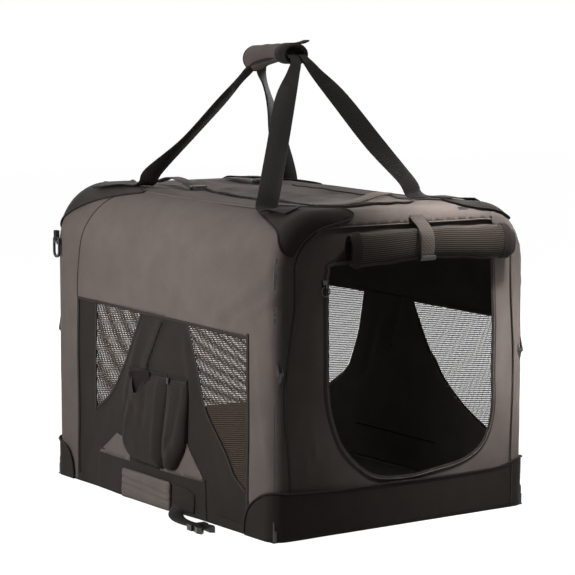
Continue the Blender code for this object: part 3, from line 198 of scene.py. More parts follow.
WALL_RIDGES = (
    ((-0.150, 0.325), (-0.350, 0.430), 0.012, 0.0035),
    ((-0.215, 0.330), (-0.372, 0.400), 0.010, 0.0030),
    ((-0.110, 0.440), (-0.345, 0.470), 0.014, 0.0028),
    ((-0.300, 0.330), (-0.335, 0.110), 0.011, 0.0030),
    ((-0.340, 0.360), (-0.362, 0.060), 0.008, 0.0024),
    ((0.262, 0.330), (0.150, 0.500), 0.016, 0.0022),
    ((0.060, 0.350), (-0.080, 0.520), 0.020, 0.0020),
    ((0.300, 0.430), (0.310, 0.090), 0.010, 0.0024),
)


def wall_drape(u, h, seed):
    """How far a side wall stands in or out at a height h."""
    point = Vector((u, h))
    lift = sum(ridge(point, *fold) for fold in WALL_RIDGES)
    middle = math.cos(math.pi * min(abs(u), HALF_LENGTH) / (2 * HALF_LENGTH))
    sag = -0.004 * middle * soft_step(h, 0.02, 0.2) * (1 - soft_step(h, 0.36, 0.50))
    return lift + sag + waves(u, h, 0.13, 0.0022, seed) + waves(u, h, 0.045, 0.0007, seed + 5)


def calm_ends(u, drape):
    """The cloth's folds die out where it turns the corner, so that it lies flat on the end walls."""
    turned = soft_step(abs(u), HALF_LENGTH - 0.018, HALF_LENGTH + 0.012)
    return drape * (1 - turned) + 0.0010 * turned


def left_wall(u, h, out=0.0):
    """A point on the left wall's cloth."""
    return shell(u, h - GIRTH, out + calm_ends(u, wall_drape(u, h, 1.3)))


def right_wall(u, h, out=0.0):
    """A point on the right wall's cloth."""
    return shell(u, GIRTH - h, out + calm_ends(u, wall_drape(u, h, 7.9)))


ROOF_RIDGES = (
    ((-0.30, -0.14), (-0.10, -0.10), 0.012, 0.0030),
    ((-0.31, 0.02), (-0.12, 0.13), 0.014, 0.0030),
    ((0.05, -0.15), (0.16, 0.02), 0.012, 0.0028),
    ((0.20, -0.12), (0.33, 0.10), 0.016, 0.0030),
    ((0.00, 0.16), (0.22, 0.12), 0.012, 0.0026),
    ((-0.06, -0.165), (0.10, -0.15), 0.010, 0.0026),
)


def roof(u, s, out=0.0):
    """A point on the roof's cloth, which sags between its rods."""
    lift = sum(ridge(Vector((u, s)), *fold) for fold in ROOF_RIDGES)
    inside = (1 - soft_step(abs(s), 0.13, 0.20)) * (1 - soft_step(abs(u), 0.26, 0.34))
    hang = -0.0035 * inside * math.sin(math.pi * min(abs(s), 0.125) / 0.125)
    return shell(u, s, out + lift * inside + hang + inside * waves(u, s, 0.07, 0.0030, 3.1))


FRONT_RIDGES = (
    ((-0.178, 0.110), (-0.192, 0.210), 0.007, 0.0040),
    ((-0.196, 0.090), (-0.205, 0.180), 0.006, 0.0035),
    ((-0.165, 0.085), (-0.150, 0.130), 0.005, 0.0035),
    ((-0.185, 0.240), (-0.178, 0.400), 0.010, 0.0030),
    ((-0.205, 0.300), (-0.200, 0.440), 0.008, 0.0025),
    ((0.205, 0.110), (0.200, 0.380), 0.008, 0.0016),
)


def front_wall(x, z, out=0.0):
    """A point on the front wall's cloth, pulled into upright folds beside the door."""
    lift = sum(ridge(Vector((x, z)), *fold) for fold in FRONT_RIDGES)
    lift += waves(x, z, 0.08, 0.0022, 11.0)
    lift *= 1 - soft_step(abs(x), 0.195, 0.222)
    return Vector((x, -0.3486 - out - lift, z))


def rear_wall(x, z, out=0.0):
    """A point on the rear wall's cloth."""
    lift = waves(x, z, 0.10, 0.0024, 17.0) + waves(x, z, 0.04, 0.0008, 19.0)
    lift *= 1 - soft_step(abs(x), 0.195, 0.222)
    return Vector((x, 0.3486 + out + lift, z))


print("left wall at half height", [round(c, 4) for c in left_wall(0, 0.26)])


# %% [markdown]
# ## Ways to sew
# Two helpers make nearly everything. One cuts a flat outline, divides it finely and lays it on the tent, as a
# sewing room does. The other drags a small section along a line, which is how webbing, piping and tape are made.


# %% Lines and outlines
def turned_line(corners, closed=True, steps=6):
    """A line through corner points (a, b, radius) that turns each corner on its radius."""
    line = []
    last = len(corners) - 1
    for index, (a, b, radius) in enumerate(corners):
        here = Vector((a, b))
        if radius == 0 or (not closed and index in (0, last)):
            line.append(here)
            continue
        back = (Vector(corners[index - 1][:2]) - here).normalized()
        ahead = (Vector(corners[(index + 1) % len(corners)][:2]) - here).normalized()
        half = back.angle(ahead) / 2
        centre = here + (back + ahead).normalized() * (radius / math.sin(half))
        start = here + back * (radius / math.tan(half)) - centre
        end = here + ahead * (radius / math.tan(half)) - centre
        for step in range(steps + 1):
            share = step / steps
            line.append(centre + (start * (1 - share) + end * share).normalized() * radius)
    return line


def flowing_line(points, closed=False, per_span=6):
    """A smooth line through all its points, in two or three dimensions."""
    count = len(points)
    points = [Vector(p) for p in points]
    line = []
    for index in range(count if closed else count - 1):
        if closed:
            p0, p1, p2, p3 = (points[(index + k) % count] for k in (-1, 0, 1, 2))
        else:
            p0, p1 = points[max(index - 1, 0)], points[index]
            p2, p3 = points[index + 1], points[min(index + 2, count - 1)]
        for step in range(per_span):
            t = step / per_span
            line.append(
                0.5 * (2 * p1 + (p2 - p0) * t + (2 * p0 - 5 * p1 + 4 * p2 - p3) * t * t
                       + (3 * p1 - p0 - 3 * p2 + p3) * t ** 3)
            )
    return line if closed else line + [points[-1]]


def divided(line, step, closed=False):
    """The same line with no stretch longer than step."""
    fine = []
    for index in range(len(line) if closed else len(line) - 1):
        start, end = line[index], line[(index + 1) % len(line)]
        pieces = max(1, math.ceil((end - start).length / step))
        fine += [start.lerp(end, k / pieces) for k in range(pieces)]
    return fine if closed else fine + [line[-1]]


# %% Cut a flat piece and lay it on
def cut_cloth(outlines, step):
    """Flat cloth between closed outlines, the later ones being holes, divided into a grid of that step."""
    bm = bmesh.new()
    for outline in outlines:
        corners = [bm.verts.new((p[0], p[1], 0)) for p in outline]
        for index, corner in enumerate(corners):
            bm.edges.new((corner, corners[(index + 1) % len(corners)]))
    bmesh.ops.triangle_fill(bm, use_beauty=True, edges=bm.edges[:], normal=(0, 0, 1))
    for axis in (0, 1):
        low = min(v.co[axis] for v in bm.verts)
        high = max(v.co[axis] for v in bm.verts)
        along = Vector((1, 0, 0)) if axis == 0 else Vector((0, 1, 0))
        for line in range(1, math.ceil((high - low) / step)):
            everything = bm.verts[:] + bm.edges[:] + bm.faces[:]
            bmesh.ops.bisect_plane(
                bm, geom=everything, dist=1e-6, plane_co=along * (low + line * step), plane_no=along
            )
    bmesh.ops.remove_doubles(bm, verts=bm.verts, dist=0.0005)
    bmesh.ops.triangulate(bm, faces=[face for face in bm.faces if len(face.verts) > 4])
    bm.normal_update()
    bmesh.ops.reverse_faces(bm, faces=[face for face in bm.faces if face.normal.z < 0])
    return bm


def lay_cloth(bm, place, out=0.0):
    """Moves flat cloth onto the tent, keeps its flat lengths in metres as a UV map, and gives its flat area. out is
    a length, or a way to work it out from the two flat lengths."""
    cloth_map = bm.loops.layers.uv.new("cloth")
    for face in bm.faces:
        for loop in face.loops:
            loop[cloth_map].uv = loop.vert.co.xy
    area = sum(face.calc_area() for face in bm.faces)
    lift = out if callable(out) else lambda a, b: out
    bm.faces.ensure_lookup_table()
    probe = bm.faces[len(bm.faces) // 2]
    middle = probe.calc_center_median()
    outward = place(middle.x, middle.y, 0.01) - place(middle.x, middle.y, 0.0)
    for vert in bm.verts:
        a, b = vert.co.x, vert.co.y
        vert.co = place(a, b, lift(a, b))
    bm.normal_update()
    if probe.normal.dot(outward) < 0:
        bmesh.ops.reverse_faces(bm, faces=bm.faces[:])
    return area


# %% Drag a section along a line
def drag_section(bm, section, frames, ends=True):
    """Carries a closed section through a row of frames by extruding its edges, and keeps the length along the row
    and the section's own width for the UV map."""
    along = bm.verts.layers.float.get("along") or bm.verts.layers.float.new("along")
    across = bm.verts.layers.float.get("across") or bm.verts.layers.float.new("across")
    ring, gone = [], 0.0
    for index, (a, b) in enumerate(section):
        corner = bm.verts.new(frames[0] @ Vector((a, b, 0)))
        gone += (Vector((a, b)) - Vector(section[max(index - 1, 0)])).length
        corner[across] = gone
        ring.append(corner)
    edges = [bm.edges.new((ring[k - 1], ring[k])) for k in range(len(ring))]
    first, length = edges, 0.0
    for before, after in zip(frames, frames[1:]):
        made = bmesh.ops.extrude_edge_only(bm, edges=edges)["geom"]
        fresh = [item for item in made if isinstance(item, bmesh.types.BMVert)]
        known = set(fresh)
        edges = [item for item in made if isinstance(item, bmesh.types.BMEdge) and set(item.verts) <= known]
        bmesh.ops.transform(bm, matrix=after @ before.inverted(), verts=fresh)
        length += (after.translation - before.translation).length
        for vert in fresh:
            vert[along] = length
    if ends:
        bmesh.ops.edgeloop_fill(bm, edges=first)
        bmesh.ops.edgeloop_fill(bm, edges=edges)
    return length


def keep_lengths(bm):
    """Points the faces outwards and writes the kept lengths to the UV map, in metres."""
    bmesh.ops.recalc_face_normals(bm, faces=bm.faces[:])
    cloth_map = bm.loops.layers.uv.new("cloth")
    along = bm.verts.layers.float["along"]
    across = bm.verts.layers.float["across"]
    for face in bm.faces:
        for loop in face.loops:
            loop[cloth_map].uv = (loop.vert[across], loop.vert[along])


def frame_at(centre, ahead, side, wide=1.0, thick=1.0):
    """A frame whose X is the section's width, Y its thickness and Z the way ahead."""
    ahead = ahead.normalized()
    side = (side - ahead * side.dot(ahead)).normalized()
    up = ahead.cross(side)
    turn = Matrix((side * wide, up * thick, ahead)).transposed().to_4x4()
    return Matrix.Translation(centre) @ turn


def frames_on(place, line, out, closed=False):
    """Frames for a strip lying on the tent along a line of flat cloth lengths."""
    spots = [place(a, b, out) for a, b in line]
    frames = []
    for index, (a, b) in enumerate(line):
        if closed:
            back, ahead = spots[index - 1], spots[(index + 1) % len(spots)]
        else:
            back, ahead = spots[max(index - 1, 0)], spots[min(index + 1, len(spots) - 1)]
        lift = place(a, b, out + 0.004) - spots[index]
        frames.append(frame_at(spots[index], ahead - back, (ahead - back).cross(lift)))
    return frames + [frames[0]] if closed else frames


def band_section(width, thick):
    """A flat band's section with its long edges eased."""
    w, t = width / 2, thick / 2
    ease = min(t, w) * 0.6
    return [(-w, -t + ease), (-w + ease, -t), (w - ease, -t), (w, -t + ease),
            (w, t - ease), (w - ease, t), (-w + ease, t), (-w, t - ease)]


def round_section(radius, sides=8):
    """A round cord's section."""
    turns = [math.tau * k / sides for k in range(sides)]
    return [(radius * math.cos(turn), radius * math.sin(turn)) for turn in turns]


# %% Turn a bmesh into a piece of the crate
def make_piece(bm, name, finishes, body, sharp=35):
    """Makes the object, smooth but for its sharp edges, and lets it ride on a body of the frame."""
    mesh = bpy.data.meshes.new(name)
    bm.to_mesh(mesh)
    bm.free()
    piece = bpy.data.objects.new(name, mesh)
    scene.collection.objects.link(piece)
    for finish in finishes:
        mesh.materials.append(finish)
    mesh.shade_smooth()
    mesh.set_sharp_from_angle(angle=math.radians(sharp))
    if body:
        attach(piece, body)
    return piece


def give_thickness(piece, thick, lined=True):
    """Thickens a sheet inwards, with its second finish on the inside."""
    wall = piece.modifiers.new("cloth thickness", "SOLIDIFY")
    wall.thickness = thick
    wall.offset = -1
    wall.use_rim = True
    if lined:
        wall.material_offset = 1
    return piece


def fold_flat(piece):
    """Gives the piece a mesh of its own."""
    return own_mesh(piece)


def sew_strip(name, place, line, section, out, finish, body, closed=False):
    """A tape, piping or seam that lies along a line on the tent."""
    bm = bmesh.new()
    drag_section(bm, section, frames_on(place, line, out, closed), ends=not closed)
    if closed:
        bmesh.ops.remove_doubles(bm, verts=bm.verts[:], dist=1e-6)
    keep_lengths(bm)
    return make_piece(bm, name, [finish], body, sharp=50)


print("helpers ready")

# %% [markdown]
# ## Finishes
# The crate is mostly 600 denier oxford polyester: a coarse, matt plain weave with two threads side by side. Its
# colours are read as sRGB hex values and turned to linear light, and each pattern's size is a real length.


# %% Colour and one way to add a node
def linear(code):
    """An sRGB hex colour as Blender's linear colour."""
    parts = [int(code[k:k + 2], 16) / 255 for k in (1, 3, 5)]
    return tuple(p / 12.92 if p <= 0.04045 else ((p + 0.055) / 1.055) ** 2.4 for p in parts) + (1.0,)


def add_node(tree, kind, settings=None, inputs=None):
    """Adds one shader node with its settings; each input takes a value or another node's output."""
    made = tree.nodes.new("ShaderNode" + kind)
    for key, value in (settings or {}).items():
        setattr(made, key, value)
    for key, value in (inputs or {}).items():
        if isinstance(value, bpy.types.NodeSocket):
            tree.links.new(value, made.inputs[key])
        else:
            made.inputs[key].default_value = value
    return made


def new_finish(name):
    """An empty material and its node tree with a Principled shader joined to its output."""
    finish = bpy.data.materials.new(name)
    finish.use_nodes = True
    finish.node_tree.nodes.clear()
    shader = add_node(finish.node_tree, "BsdfPrincipled")
    add_node(finish.node_tree, "OutputMaterial", inputs={"Surface": shader.outputs[0]})
    return finish, finish.node_tree, shader


# %% Oxford cloth
THREAD = 0.0010  # threads are about 0.5 mm apart; drawn twice as coarse so that they show


def oxford_cloth(name, thread, gap, crease=0.0010, rough=0.82):
    """Matt plain-woven polyester: thread is the colour of its threads and gap the colour between them."""
    finish, tree, shader = new_finish(name)
    flat = add_node(tree, "UVMap", {"uv_map": "cloth"})
    spaced = add_node(tree, "Mapping", inputs={"Vector": flat.outputs[0], "Scale": (1 / THREAD, 1 / THREAD, 1)})
    warp = add_node(tree, "TexWave", {"bands_direction": "X"}, {"Vector": spaced.outputs[0], "Scale": 0.1592})
    weft = add_node(tree, "TexWave", {"bands_direction": "Y"}, {"Vector": spaced.outputs[0], "Scale": 0.1592})
    over = add_node(tree, "TexChecker", inputs={"Vector": spaced.outputs[0], "Scale": 1.0,
                                                "Color1": (1, 1, 1, 1), "Color2": (0, 0, 0, 1)})
    woven = add_node(tree, "MixRGB", inputs={0: over.outputs[1], 1: warp.outputs[0], 2: weft.outputs[0]})
    spot = add_node(tree, "TexCoord")
    patchy = add_node(tree, "TexNoise", inputs={"Vector": spot.outputs["Object"], "Scale": 16.0, "Detail": 3.0,
                                                "Roughness": 0.6})
    shade = add_node(tree, "MixRGB", inputs={0: woven.outputs[0], 1: linear(gap), 2: linear(thread)})
    worn = add_node(tree, "MapRange", inputs={0: patchy.outputs[0], 1: 0.3, 2: 0.7, 3: 0.90, 4: 1.08})
    colour = add_node(tree, "MixRGB", {"blend_type": "MULTIPLY"},
                      {0: 1.0, 1: shade.outputs[0], 2: worn.outputs[0]})
    creased = add_node(tree, "TexNoise", inputs={"Vector": spot.outputs["Object"], "Scale": 34.0, "Detail": 4.0,
                                                 "Roughness": 0.5, "Distortion": 0.6})
    soft = add_node(tree, "Bump", inputs={"Height": creased.outputs[0], "Distance": crease, "Strength": 0.9})
    fine = add_node(tree, "Bump", inputs={"Height": woven.outputs[0], "Distance": 0.0003, "Strength": 0.6,
                                          "Normal": soft.outputs[0]})
    tree.links.new(colour.outputs[0], shader.inputs["Base Color"])
    tree.links.new(fine.outputs[0], shader.inputs["Normal"])
    shader.inputs["Roughness"].default_value = rough
    shader.inputs["Specular IOR Level"].default_value = 0.15
    shader.inputs["Sheen Weight"].default_value = 0.02
    shader.inputs["Sheen Roughness"].default_value = 0.5
    return finish


grey_oxford = oxford_cloth("grey_oxford_polyester", "#7b716c", "#6b625d")
dark_oxford = oxford_cloth("dark_oxford_polyester", "#352f2b", "#292421")
coated_lining = oxford_cloth("pu_coated_lining", "#77706a", "#6a635e", rough=0.6)
print("oxford cloths made")

# %% [markdown]
# ### Net
# The windows are polyester netting. Its holes are drawn as see-through spots in a regular staggered grid, so the
# net stays one light sheet instead of half a million threads.


# %% Netting
NET_PITCH = 0.0024  # holes are about 1.8 mm apart; drawn a little coarser so that they show


def netting(name, thread, hole, pitch=NET_PITCH, stretch=1.0, turn=45):
    """Knitted netting: hole is the radius of a see-through hole, as a share of the pitch, and stretch pulls the
    holes long."""
    finish, tree, shader = new_finish(name)
    flat = add_node(tree, "UVMap", {"uv_map": "cloth"})
    pulled = add_node(tree, "Mapping", inputs={"Vector": flat.outputs[0], "Scale": (1, 1 / stretch, 1)})
    turned = add_node(tree, "Mapping", inputs={"Rotation": (0, 0, math.radians(turn)),
                                               "Scale": (1 / pitch, 1 / pitch, 1)})
    uneven = 0.15 if turn else 0.0
    tree.links.new(pulled.outputs[0], turned.inputs["Vector"])
    cells = add_node(tree, "TexVoronoi", {"voronoi_dimensions": "2D"},
                     {"Vector": turned.outputs[0], "Scale": 1.0, "Randomness": uneven})
    cover = add_node(tree, "MapRange", inputs={0: cells.outputs["Distance"], 1: hole - 0.05, 2: hole + 0.05,
                                               3: 0.0, 4: 1.0})
    rise = add_node(tree, "Bump", inputs={"Height": cells.outputs["Distance"], "Distance": 0.0005})
    shader.inputs["Base Color"].default_value = linear(thread)
    shader.inputs["Roughness"].default_value = 0.7
    shader.inputs["Specular IOR Level"].default_value = 0.2
    tree.links.new(cover.outputs[0], shader.inputs["Alpha"])
    tree.links.new(rise.outputs[0], shader.inputs["Normal"])
    return finish


# The pouch's lining is wine-coloured cloth, but its near-black value is painted shade standing in for the dark inside
# of the pouch's mouth.
wine_lining_painted_shade = oxford_cloth("wine_lining_with_painted_shade", "#201416", "#180f11")
window_net = netting("polyester_window_net", "#463a31", 0.300, 0.0034, turn=8)
door_net = netting("polyester_door_net", "#59514a", 0.30, 0.0034, stretch=1000.0, turn=0)
print("nets made")

# %% [markdown]
# ### Webbing, tape and hard parts
# Webbing is woven with bold ribs across its length. The moulded buckles are acetal, slightly glossy with a fine
# spark finish, and the frame is powder-coated steel tube.


# %% Webbing and tape
def ribbed_webbing(name, thread, groove, rib, rough=0.72):
    """Woven webbing or tape with ribs across it, rib metres apart."""
    finish, tree, shader = new_finish(name)
    flat = add_node(tree, "UVMap", {"uv_map": "cloth"})
    spaced = add_node(tree, "Mapping", inputs={"Vector": flat.outputs[0], "Scale": (1 / rib, 1 / rib, 1)})
    ribs = add_node(tree, "TexWave", {"bands_direction": "Y"}, {"Vector": spaced.outputs[0], "Scale": 0.1592,
                                                                "Distortion": 0.4, "Detail": 1.0})
    twill = add_node(tree, "TexWave", {"bands_direction": "DIAGONAL"}, {"Vector": spaced.outputs[0],
                                                                        "Scale": 0.1592})
    both = add_node(tree, "MixRGB", inputs={0: 0.4, 1: ribs.outputs[0], 2: twill.outputs[0]})
    spot = add_node(tree, "TexCoord")
    patchy = add_node(tree, "TexNoise", inputs={"Vector": spot.outputs["Object"], "Scale": 30.0, "Detail": 2.0})
    shade = add_node(tree, "MixRGB", inputs={0: both.outputs[0], 1: linear(groove), 2: linear(thread)})
    worn = add_node(tree, "MapRange", inputs={0: patchy.outputs[0], 1: 0.3, 2: 0.7, 3: 0.88, 4: 1.10})
    colour = add_node(tree, "MixRGB", {"blend_type": "MULTIPLY"}, {0: 1.0, 1: shade.outputs[0],
                                                                   2: worn.outputs[0]})
    rise = add_node(tree, "Bump", inputs={"Height": both.outputs[0], "Distance": 0.0005, "Strength": 0.8})
    tree.links.new(colour.outputs[0], shader.inputs["Base Color"])
    tree.links.new(rise.outputs[0], shader.inputs["Normal"])
    shader.inputs["Roughness"].default_value = rough
    shader.inputs["Specular IOR Level"].default_value = 0.2
    return finish


black_webbing = ribbed_webbing("black_polypropylene_webbing", "#2e2a28", "#1d1a18", 0.0022)
grey_tape = ribbed_webbing("grey_polyester_webbing", "#7a706a", "#5b534e", 0.0018)
tie_webbing = ribbed_webbing("taupe_polyester_webbing", "#5f5751", "#4a433e", 0.0018)
binding_tape = ribbed_webbing("dark_binding_tape", "#36302d", "#272321", 0.0014)
piping_cord = ribbed_webbing("dark_covered_piping", "#2f2a27", "#221e1c", 0.0012)


# %% Moulded, coated and plated parts
def hard_finish(name, colour, rough, grain, depth, metallic=0.0):
    """A hard surface with a fine grain, whose roughness changes a little from place to place."""
    finish, tree, shader = new_finish(name)
    spot = add_node(tree, "TexCoord")
    skin = add_node(tree, "TexNoise", inputs={"Vector": spot.outputs["Object"], "Scale": 1 / grain,
                                              "Detail": 3.0})
    handled = add_node(tree, "TexNoise", inputs={"Vector": spot.outputs["Object"], "Scale": 40.0})
    worn = add_node(tree, "MapRange", inputs={0: handled.outputs[0], 1: 0.3, 2: 0.7, 3: rough - 0.06,
                                              4: rough + 0.08})
    rise = add_node(tree, "Bump", inputs={"Height": skin.outputs[0], "Distance": depth, "Strength": 0.5})
    shader.inputs["Base Color"].default_value = linear(colour)
    shader.inputs["Metallic"].default_value = metallic
    tree.links.new(worn.outputs[0], shader.inputs["Roughness"])
    tree.links.new(rise.outputs[0], shader.inputs["Normal"])
    return finish


black_acetal = hard_finish("moulded_black_acetal", "#1d1b1a", 0.38, 0.0012, 0.0001)
coated_steel = hard_finish("powder_coated_steel", "#1f1d1c", 0.45, 0.0020, 0.0002)
black_zinc = hard_finish("black_lacquered_zinc", "#211f1e", 0.34, 0.0030, 0.00005)
board_cloth = hard_finish("cloth_covered_board", "#3a3531", 0.85, 0.0030, 0.0003)
dark_fleece = hard_finish("dark_fleece_pad", "#4a4541", 0.95, 0.0045, 0.0020)
print("finishes:", len(bpy.data.materials))

# %% [markdown]
# ## The free strap
# A strap hangs from under the padded sleeve, folds onto the floor and ends in half a buckle. It is the only loose
# length on the crate, and it follows the route that the CAD strap has.

# %% Free strap
STRAP_ROUTE = (
    (-0.2612, -0.0750, 0.0530), (-0.2618, -0.0750, 0.0400), (-0.2655, -0.0755, 0.0220),
    (-0.2760, -0.0830, 0.0065), (-0.2880, -0.1080, 0.0018), (-0.2980, -0.1450, 0.0030),
    (-0.3020, -0.1850, 0.0052),
)
STRAP_SIDES = (
    (0, 1, 0), (0, 1, 0), (0, 1, 0), (-0.45, 0.89, 0), (-0.89, 0.45, 0), (-0.96, 0.28, 0), (-1, 0.1, 0),
)
strap_line = flowing_line(STRAP_ROUTE, per_span=8)
strap_sides = flowing_line(STRAP_SIDES, per_span=8)
strap_frames = []
for index, spot in enumerate(strap_line):
    ahead = strap_line[min(index + 1, len(strap_line) - 1)] - strap_line[max(index - 1, 0)]
    strap_frames.append(frame_at(spot, ahead, strap_sides[index]))
bm = bmesh.new()
strap_length = drag_section(bm, band_section(0.025, 0.0018), strap_frames)
keep_lengths(bm)
free_strap = make_piece(bm, "webbing_free_strap", [black_webbing], "base", sharp=60)
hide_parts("free_strap")
print("free strap", round(strap_length, 4), "m")

# %% [markdown]
# ## Side walls
# Each side is one grey sheet that turns the soft corners at both ends, where piping holds it to the end walls. It
# is cut flat, with a notch for the window, and laid on the tent, so its weave runs true along the wall.

# %% Outlines of the side walls
LEFT_FRONT_TURN = ((0.0, 0.030), (0.100, 0.030), (0.229, 0.021), (0.330, 0.033), (0.390, 0.040), (0.533, 0.033),
                   (0.5542, 0.022))
RIGHT_FRONT_TURN = ((0.0, 0.030), (0.100, 0.030), (0.250, 0.026), (0.390, 0.034), (0.533, 0.033),
                    (0.5542, 0.022))
REAR_TURN = ((0.0, 0.030), (0.250, 0.030), (0.420, 0.034), (0.533, 0.030), (0.5542, 0.022))
WINDOW = ((-0.2777, 0.3215), (0.2717, 0.3345))


def turned_edge(turn, end):
    """The wall's edge on an end wall, as flat lengths, from the floor up."""
    return flowing_line([(end * wrapped(inward), h) for h, inward in turn], per_span=5)


def side_outline(front_turn):
    """The flat outline of one side wall, with the window's notch open to the floor."""
    front = turned_edge(front_turn, -1)
    rear = turned_edge(REAR_TURN, 1)
    notch = [(WINDOW[1][0], 0.0), WINDOW[1], WINDOW[0], (WINDOW[0][0], 0.0)]
    return divided([Vector(p) for p in front + rear[::-1] + notch], 0.012, closed=True)


# %% Sew both side walls
SHEET_STEP = 0.008
SIDES = (("left", left_wall, LEFT_FRONT_TURN), ("right", right_wall, RIGHT_FRONT_TURN))
for side_name, wall, turn in SIDES:
    bm = cut_cloth([side_outline(turn)], SHEET_STEP)
    area = lay_cloth(bm, wall)
    cloth = make_piece(bm, side_name + "_wall_cloth", [grey_oxford, coated_lining], "base")
    give_thickness(fold_flat(cloth), 0.0012)
    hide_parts(side_name + "_side_panel")
    for end_name, edge in (("front", turned_edge(turn, -1)), ("rear", turned_edge(REAR_TURN, 1))):
        joint_finish, joint_size = (grey_tape, 0.0012) if (side_name, end_name) == ("right", "front") else (
            piping_cord, 0.0019)
        piping = sew_strip(f"{side_name}_{end_name}_wall_piping", wall, divided(edge, 0.012),
                           round_section(joint_size), 0.0006, joint_finish, "base")
        fold_flat(piping)
    print(cloth.name, "is cut from", round(area, 3), "m2")

# %% [markdown]
# ## Windows
# Each side has a dark panel with two net windows and a bell of cloth between them. The bell carries a pleat down
# its middle, and the panel's edges are bound with tape.

# %% Outlines of one window
NETS = {
    "left_rear": ((0.2090, 0.3275), (0.2095, 0.1400), (0.1800, 0.1570), (0.1580, 0.1730), (0.1320, 0.2000),
                  (0.1140, 0.2250), (0.0880, 0.2680), (0.0670, 0.3050), (0.0550, 0.3275)),
    "left_front": ((-0.2710, 0.3165), (-0.2700, 0.0700), (-0.2350, 0.0900), (-0.2100, 0.1210), (-0.1650, 0.1640),
                   (-0.1440, 0.1910), (-0.1280, 0.2380), (-0.1050, 0.2900), (-0.0915, 0.3210)),
    "right_rear": ((0.2190, 0.3275), (0.2180, 0.1340), (0.1900, 0.1500), (0.1490, 0.1790), (0.1280, 0.2200),
                   (0.1090, 0.2700), (0.0960, 0.3275)),
    "right_front": ((-0.2700, 0.3165), (-0.2660, 0.1110), (-0.2250, 0.1310), (-0.1830, 0.1550), (-0.1350, 0.1920),
                    (-0.0920, 0.2360), (-0.0650, 0.2840), (-0.0480, 0.3215)),
}
PANEL = ((-0.2800, 0.0020), (-0.2800, 0.3235), (0.2740, 0.3365), (0.2740, 0.0020))
WALL_SEAM = ((0.2745, 0.336), (0.2740, 0.362), (0.2640, 0.412), (0.2500, 0.458), (0.2260, 0.510), (0.2000, 0.545))
PLEAT = ((-0.019, 0.323), (-0.006, 0.300), (0.005, 0.277), (0.018, 0.252), (0.026, 0.232))


def bell_lift(y, z):
    """The bell stands proud between the windows, with a sharp pleat near its middle."""
    point = Vector((y, z))
    middle = -0.010 + (0.33 - z) * 0.10
    half = 0.065 + (0.33 - z) * 0.55
    dome = max(0.0, 1 - ((y - middle) / half) ** 2)
    lift = 0.008 * dome * soft_step(0.335 - z, 0.0, 0.10)
    for start, end in zip(PLEAT, PLEAT[1:]):
        gap = (point - Vector(start)).dot((Vector(end) - Vector(start)).orthogonal().normalized())
        if end[1] <= z <= start[1]:
            lift += 0.0045 * soft_step(gap, -0.003, 0.001) * (1 - soft_step(gap, 0.001, 0.030))
    lift += ridge(point, (0.048, 0.315), (0.110, 0.150), 0.010, 0.0045)
    lift += ridge(point, (-0.080, 0.315), (-0.118, 0.190), 0.010, 0.0035)
    return lift - 0.0006


# %% Sew the windows
for side_name, wall, turn in SIDES:
    nets = [NETS[side_name + "_rear"], NETS[side_name + "_front"]]
    holes = [divided([Vector(p) for p in net], 0.012, closed=True) for net in nets]
    panel = divided([Vector(p) for p in PANEL], 0.012, closed=True)
    bm = cut_cloth([panel] + holes, 0.006)
    area = lay_cloth(bm, wall, bell_lift)
    cloth = make_piece(bm, side_name + "_window_cloth", [dark_oxford, coated_lining], "base")
    give_thickness(fold_flat(cloth), 0.0012)
    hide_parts(side_name + "_window_panel")
    for net_name, outline in zip(("rear", "front"), nets):
        width = max(p[0] for p in outline) - min(p[0] for p in outline)
        bm = cut_cloth([divided([Vector(p) for p in outline], 0.012, closed=True)], 0.012)
        area = lay_cloth(bm, wall, lambda y, z: bell_lift(y, z) * 0.4 - 0.0022)
        net = make_piece(bm, f"{side_name}_{net_name}_net", [window_net], "base")
        fold_flat(net)
        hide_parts(f"{side_name}_{net_name}_mesh")
    for strip_name, line, width in (
        ("top_binding", [Vector((-0.279, 0.3200)), Vector((0.274, 0.3330))], 0.005),
        ("rear_binding", [Vector((0.2715, 0.003)), Vector((0.2715, 0.334))], 0.006),
        ("front_binding", [Vector((-0.2760, 0.003)), Vector((-0.2760, 0.327))], 0.007),
        ("net_rear_binding", [Vector(nets[0][1]), Vector(nets[0][0])], 0.005),
    ):
        strip = sew_strip(f"{side_name}_{strip_name}", wall, divided(line, 0.012), band_section(width, 0.0012),
                          0.0010, binding_tape, "base")
        fold_flat(strip)
    for strip_name, line in (
        ("bell_rear_hem", flowing_line(nets[0][1:], per_span=3)),
        ("bell_front_hem", flowing_line(nets[1][1:], per_span=4)),
    ):
        def hem_place(y, z, out, wall=wall):
            return wall(y, z, out + bell_lift(y, z))
        strip = sew_strip(f"{side_name}_{strip_name}", hem_place, divided(line, 0.010), band_section(0.005, 0.0010),
                          0.0006, binding_tape, "base")
        fold_flat(strip)
    pleat_seam = sew_strip(side_name + "_bell_pleat", hem_place, flowing_line(PLEAT, per_span=4), round_section(0.0009),
                           -0.0002, binding_tape, "base")
    fold_flat(pleat_seam)
    wall_seam = sew_strip(side_name + "_wall_seam", wall, flowing_line(WALL_SEAM, per_span=4), round_section(0.0010),
                          0.0001, piping_cord, "base")
    fold_flat(wall_seam)
    print(side_name, "window sewn")
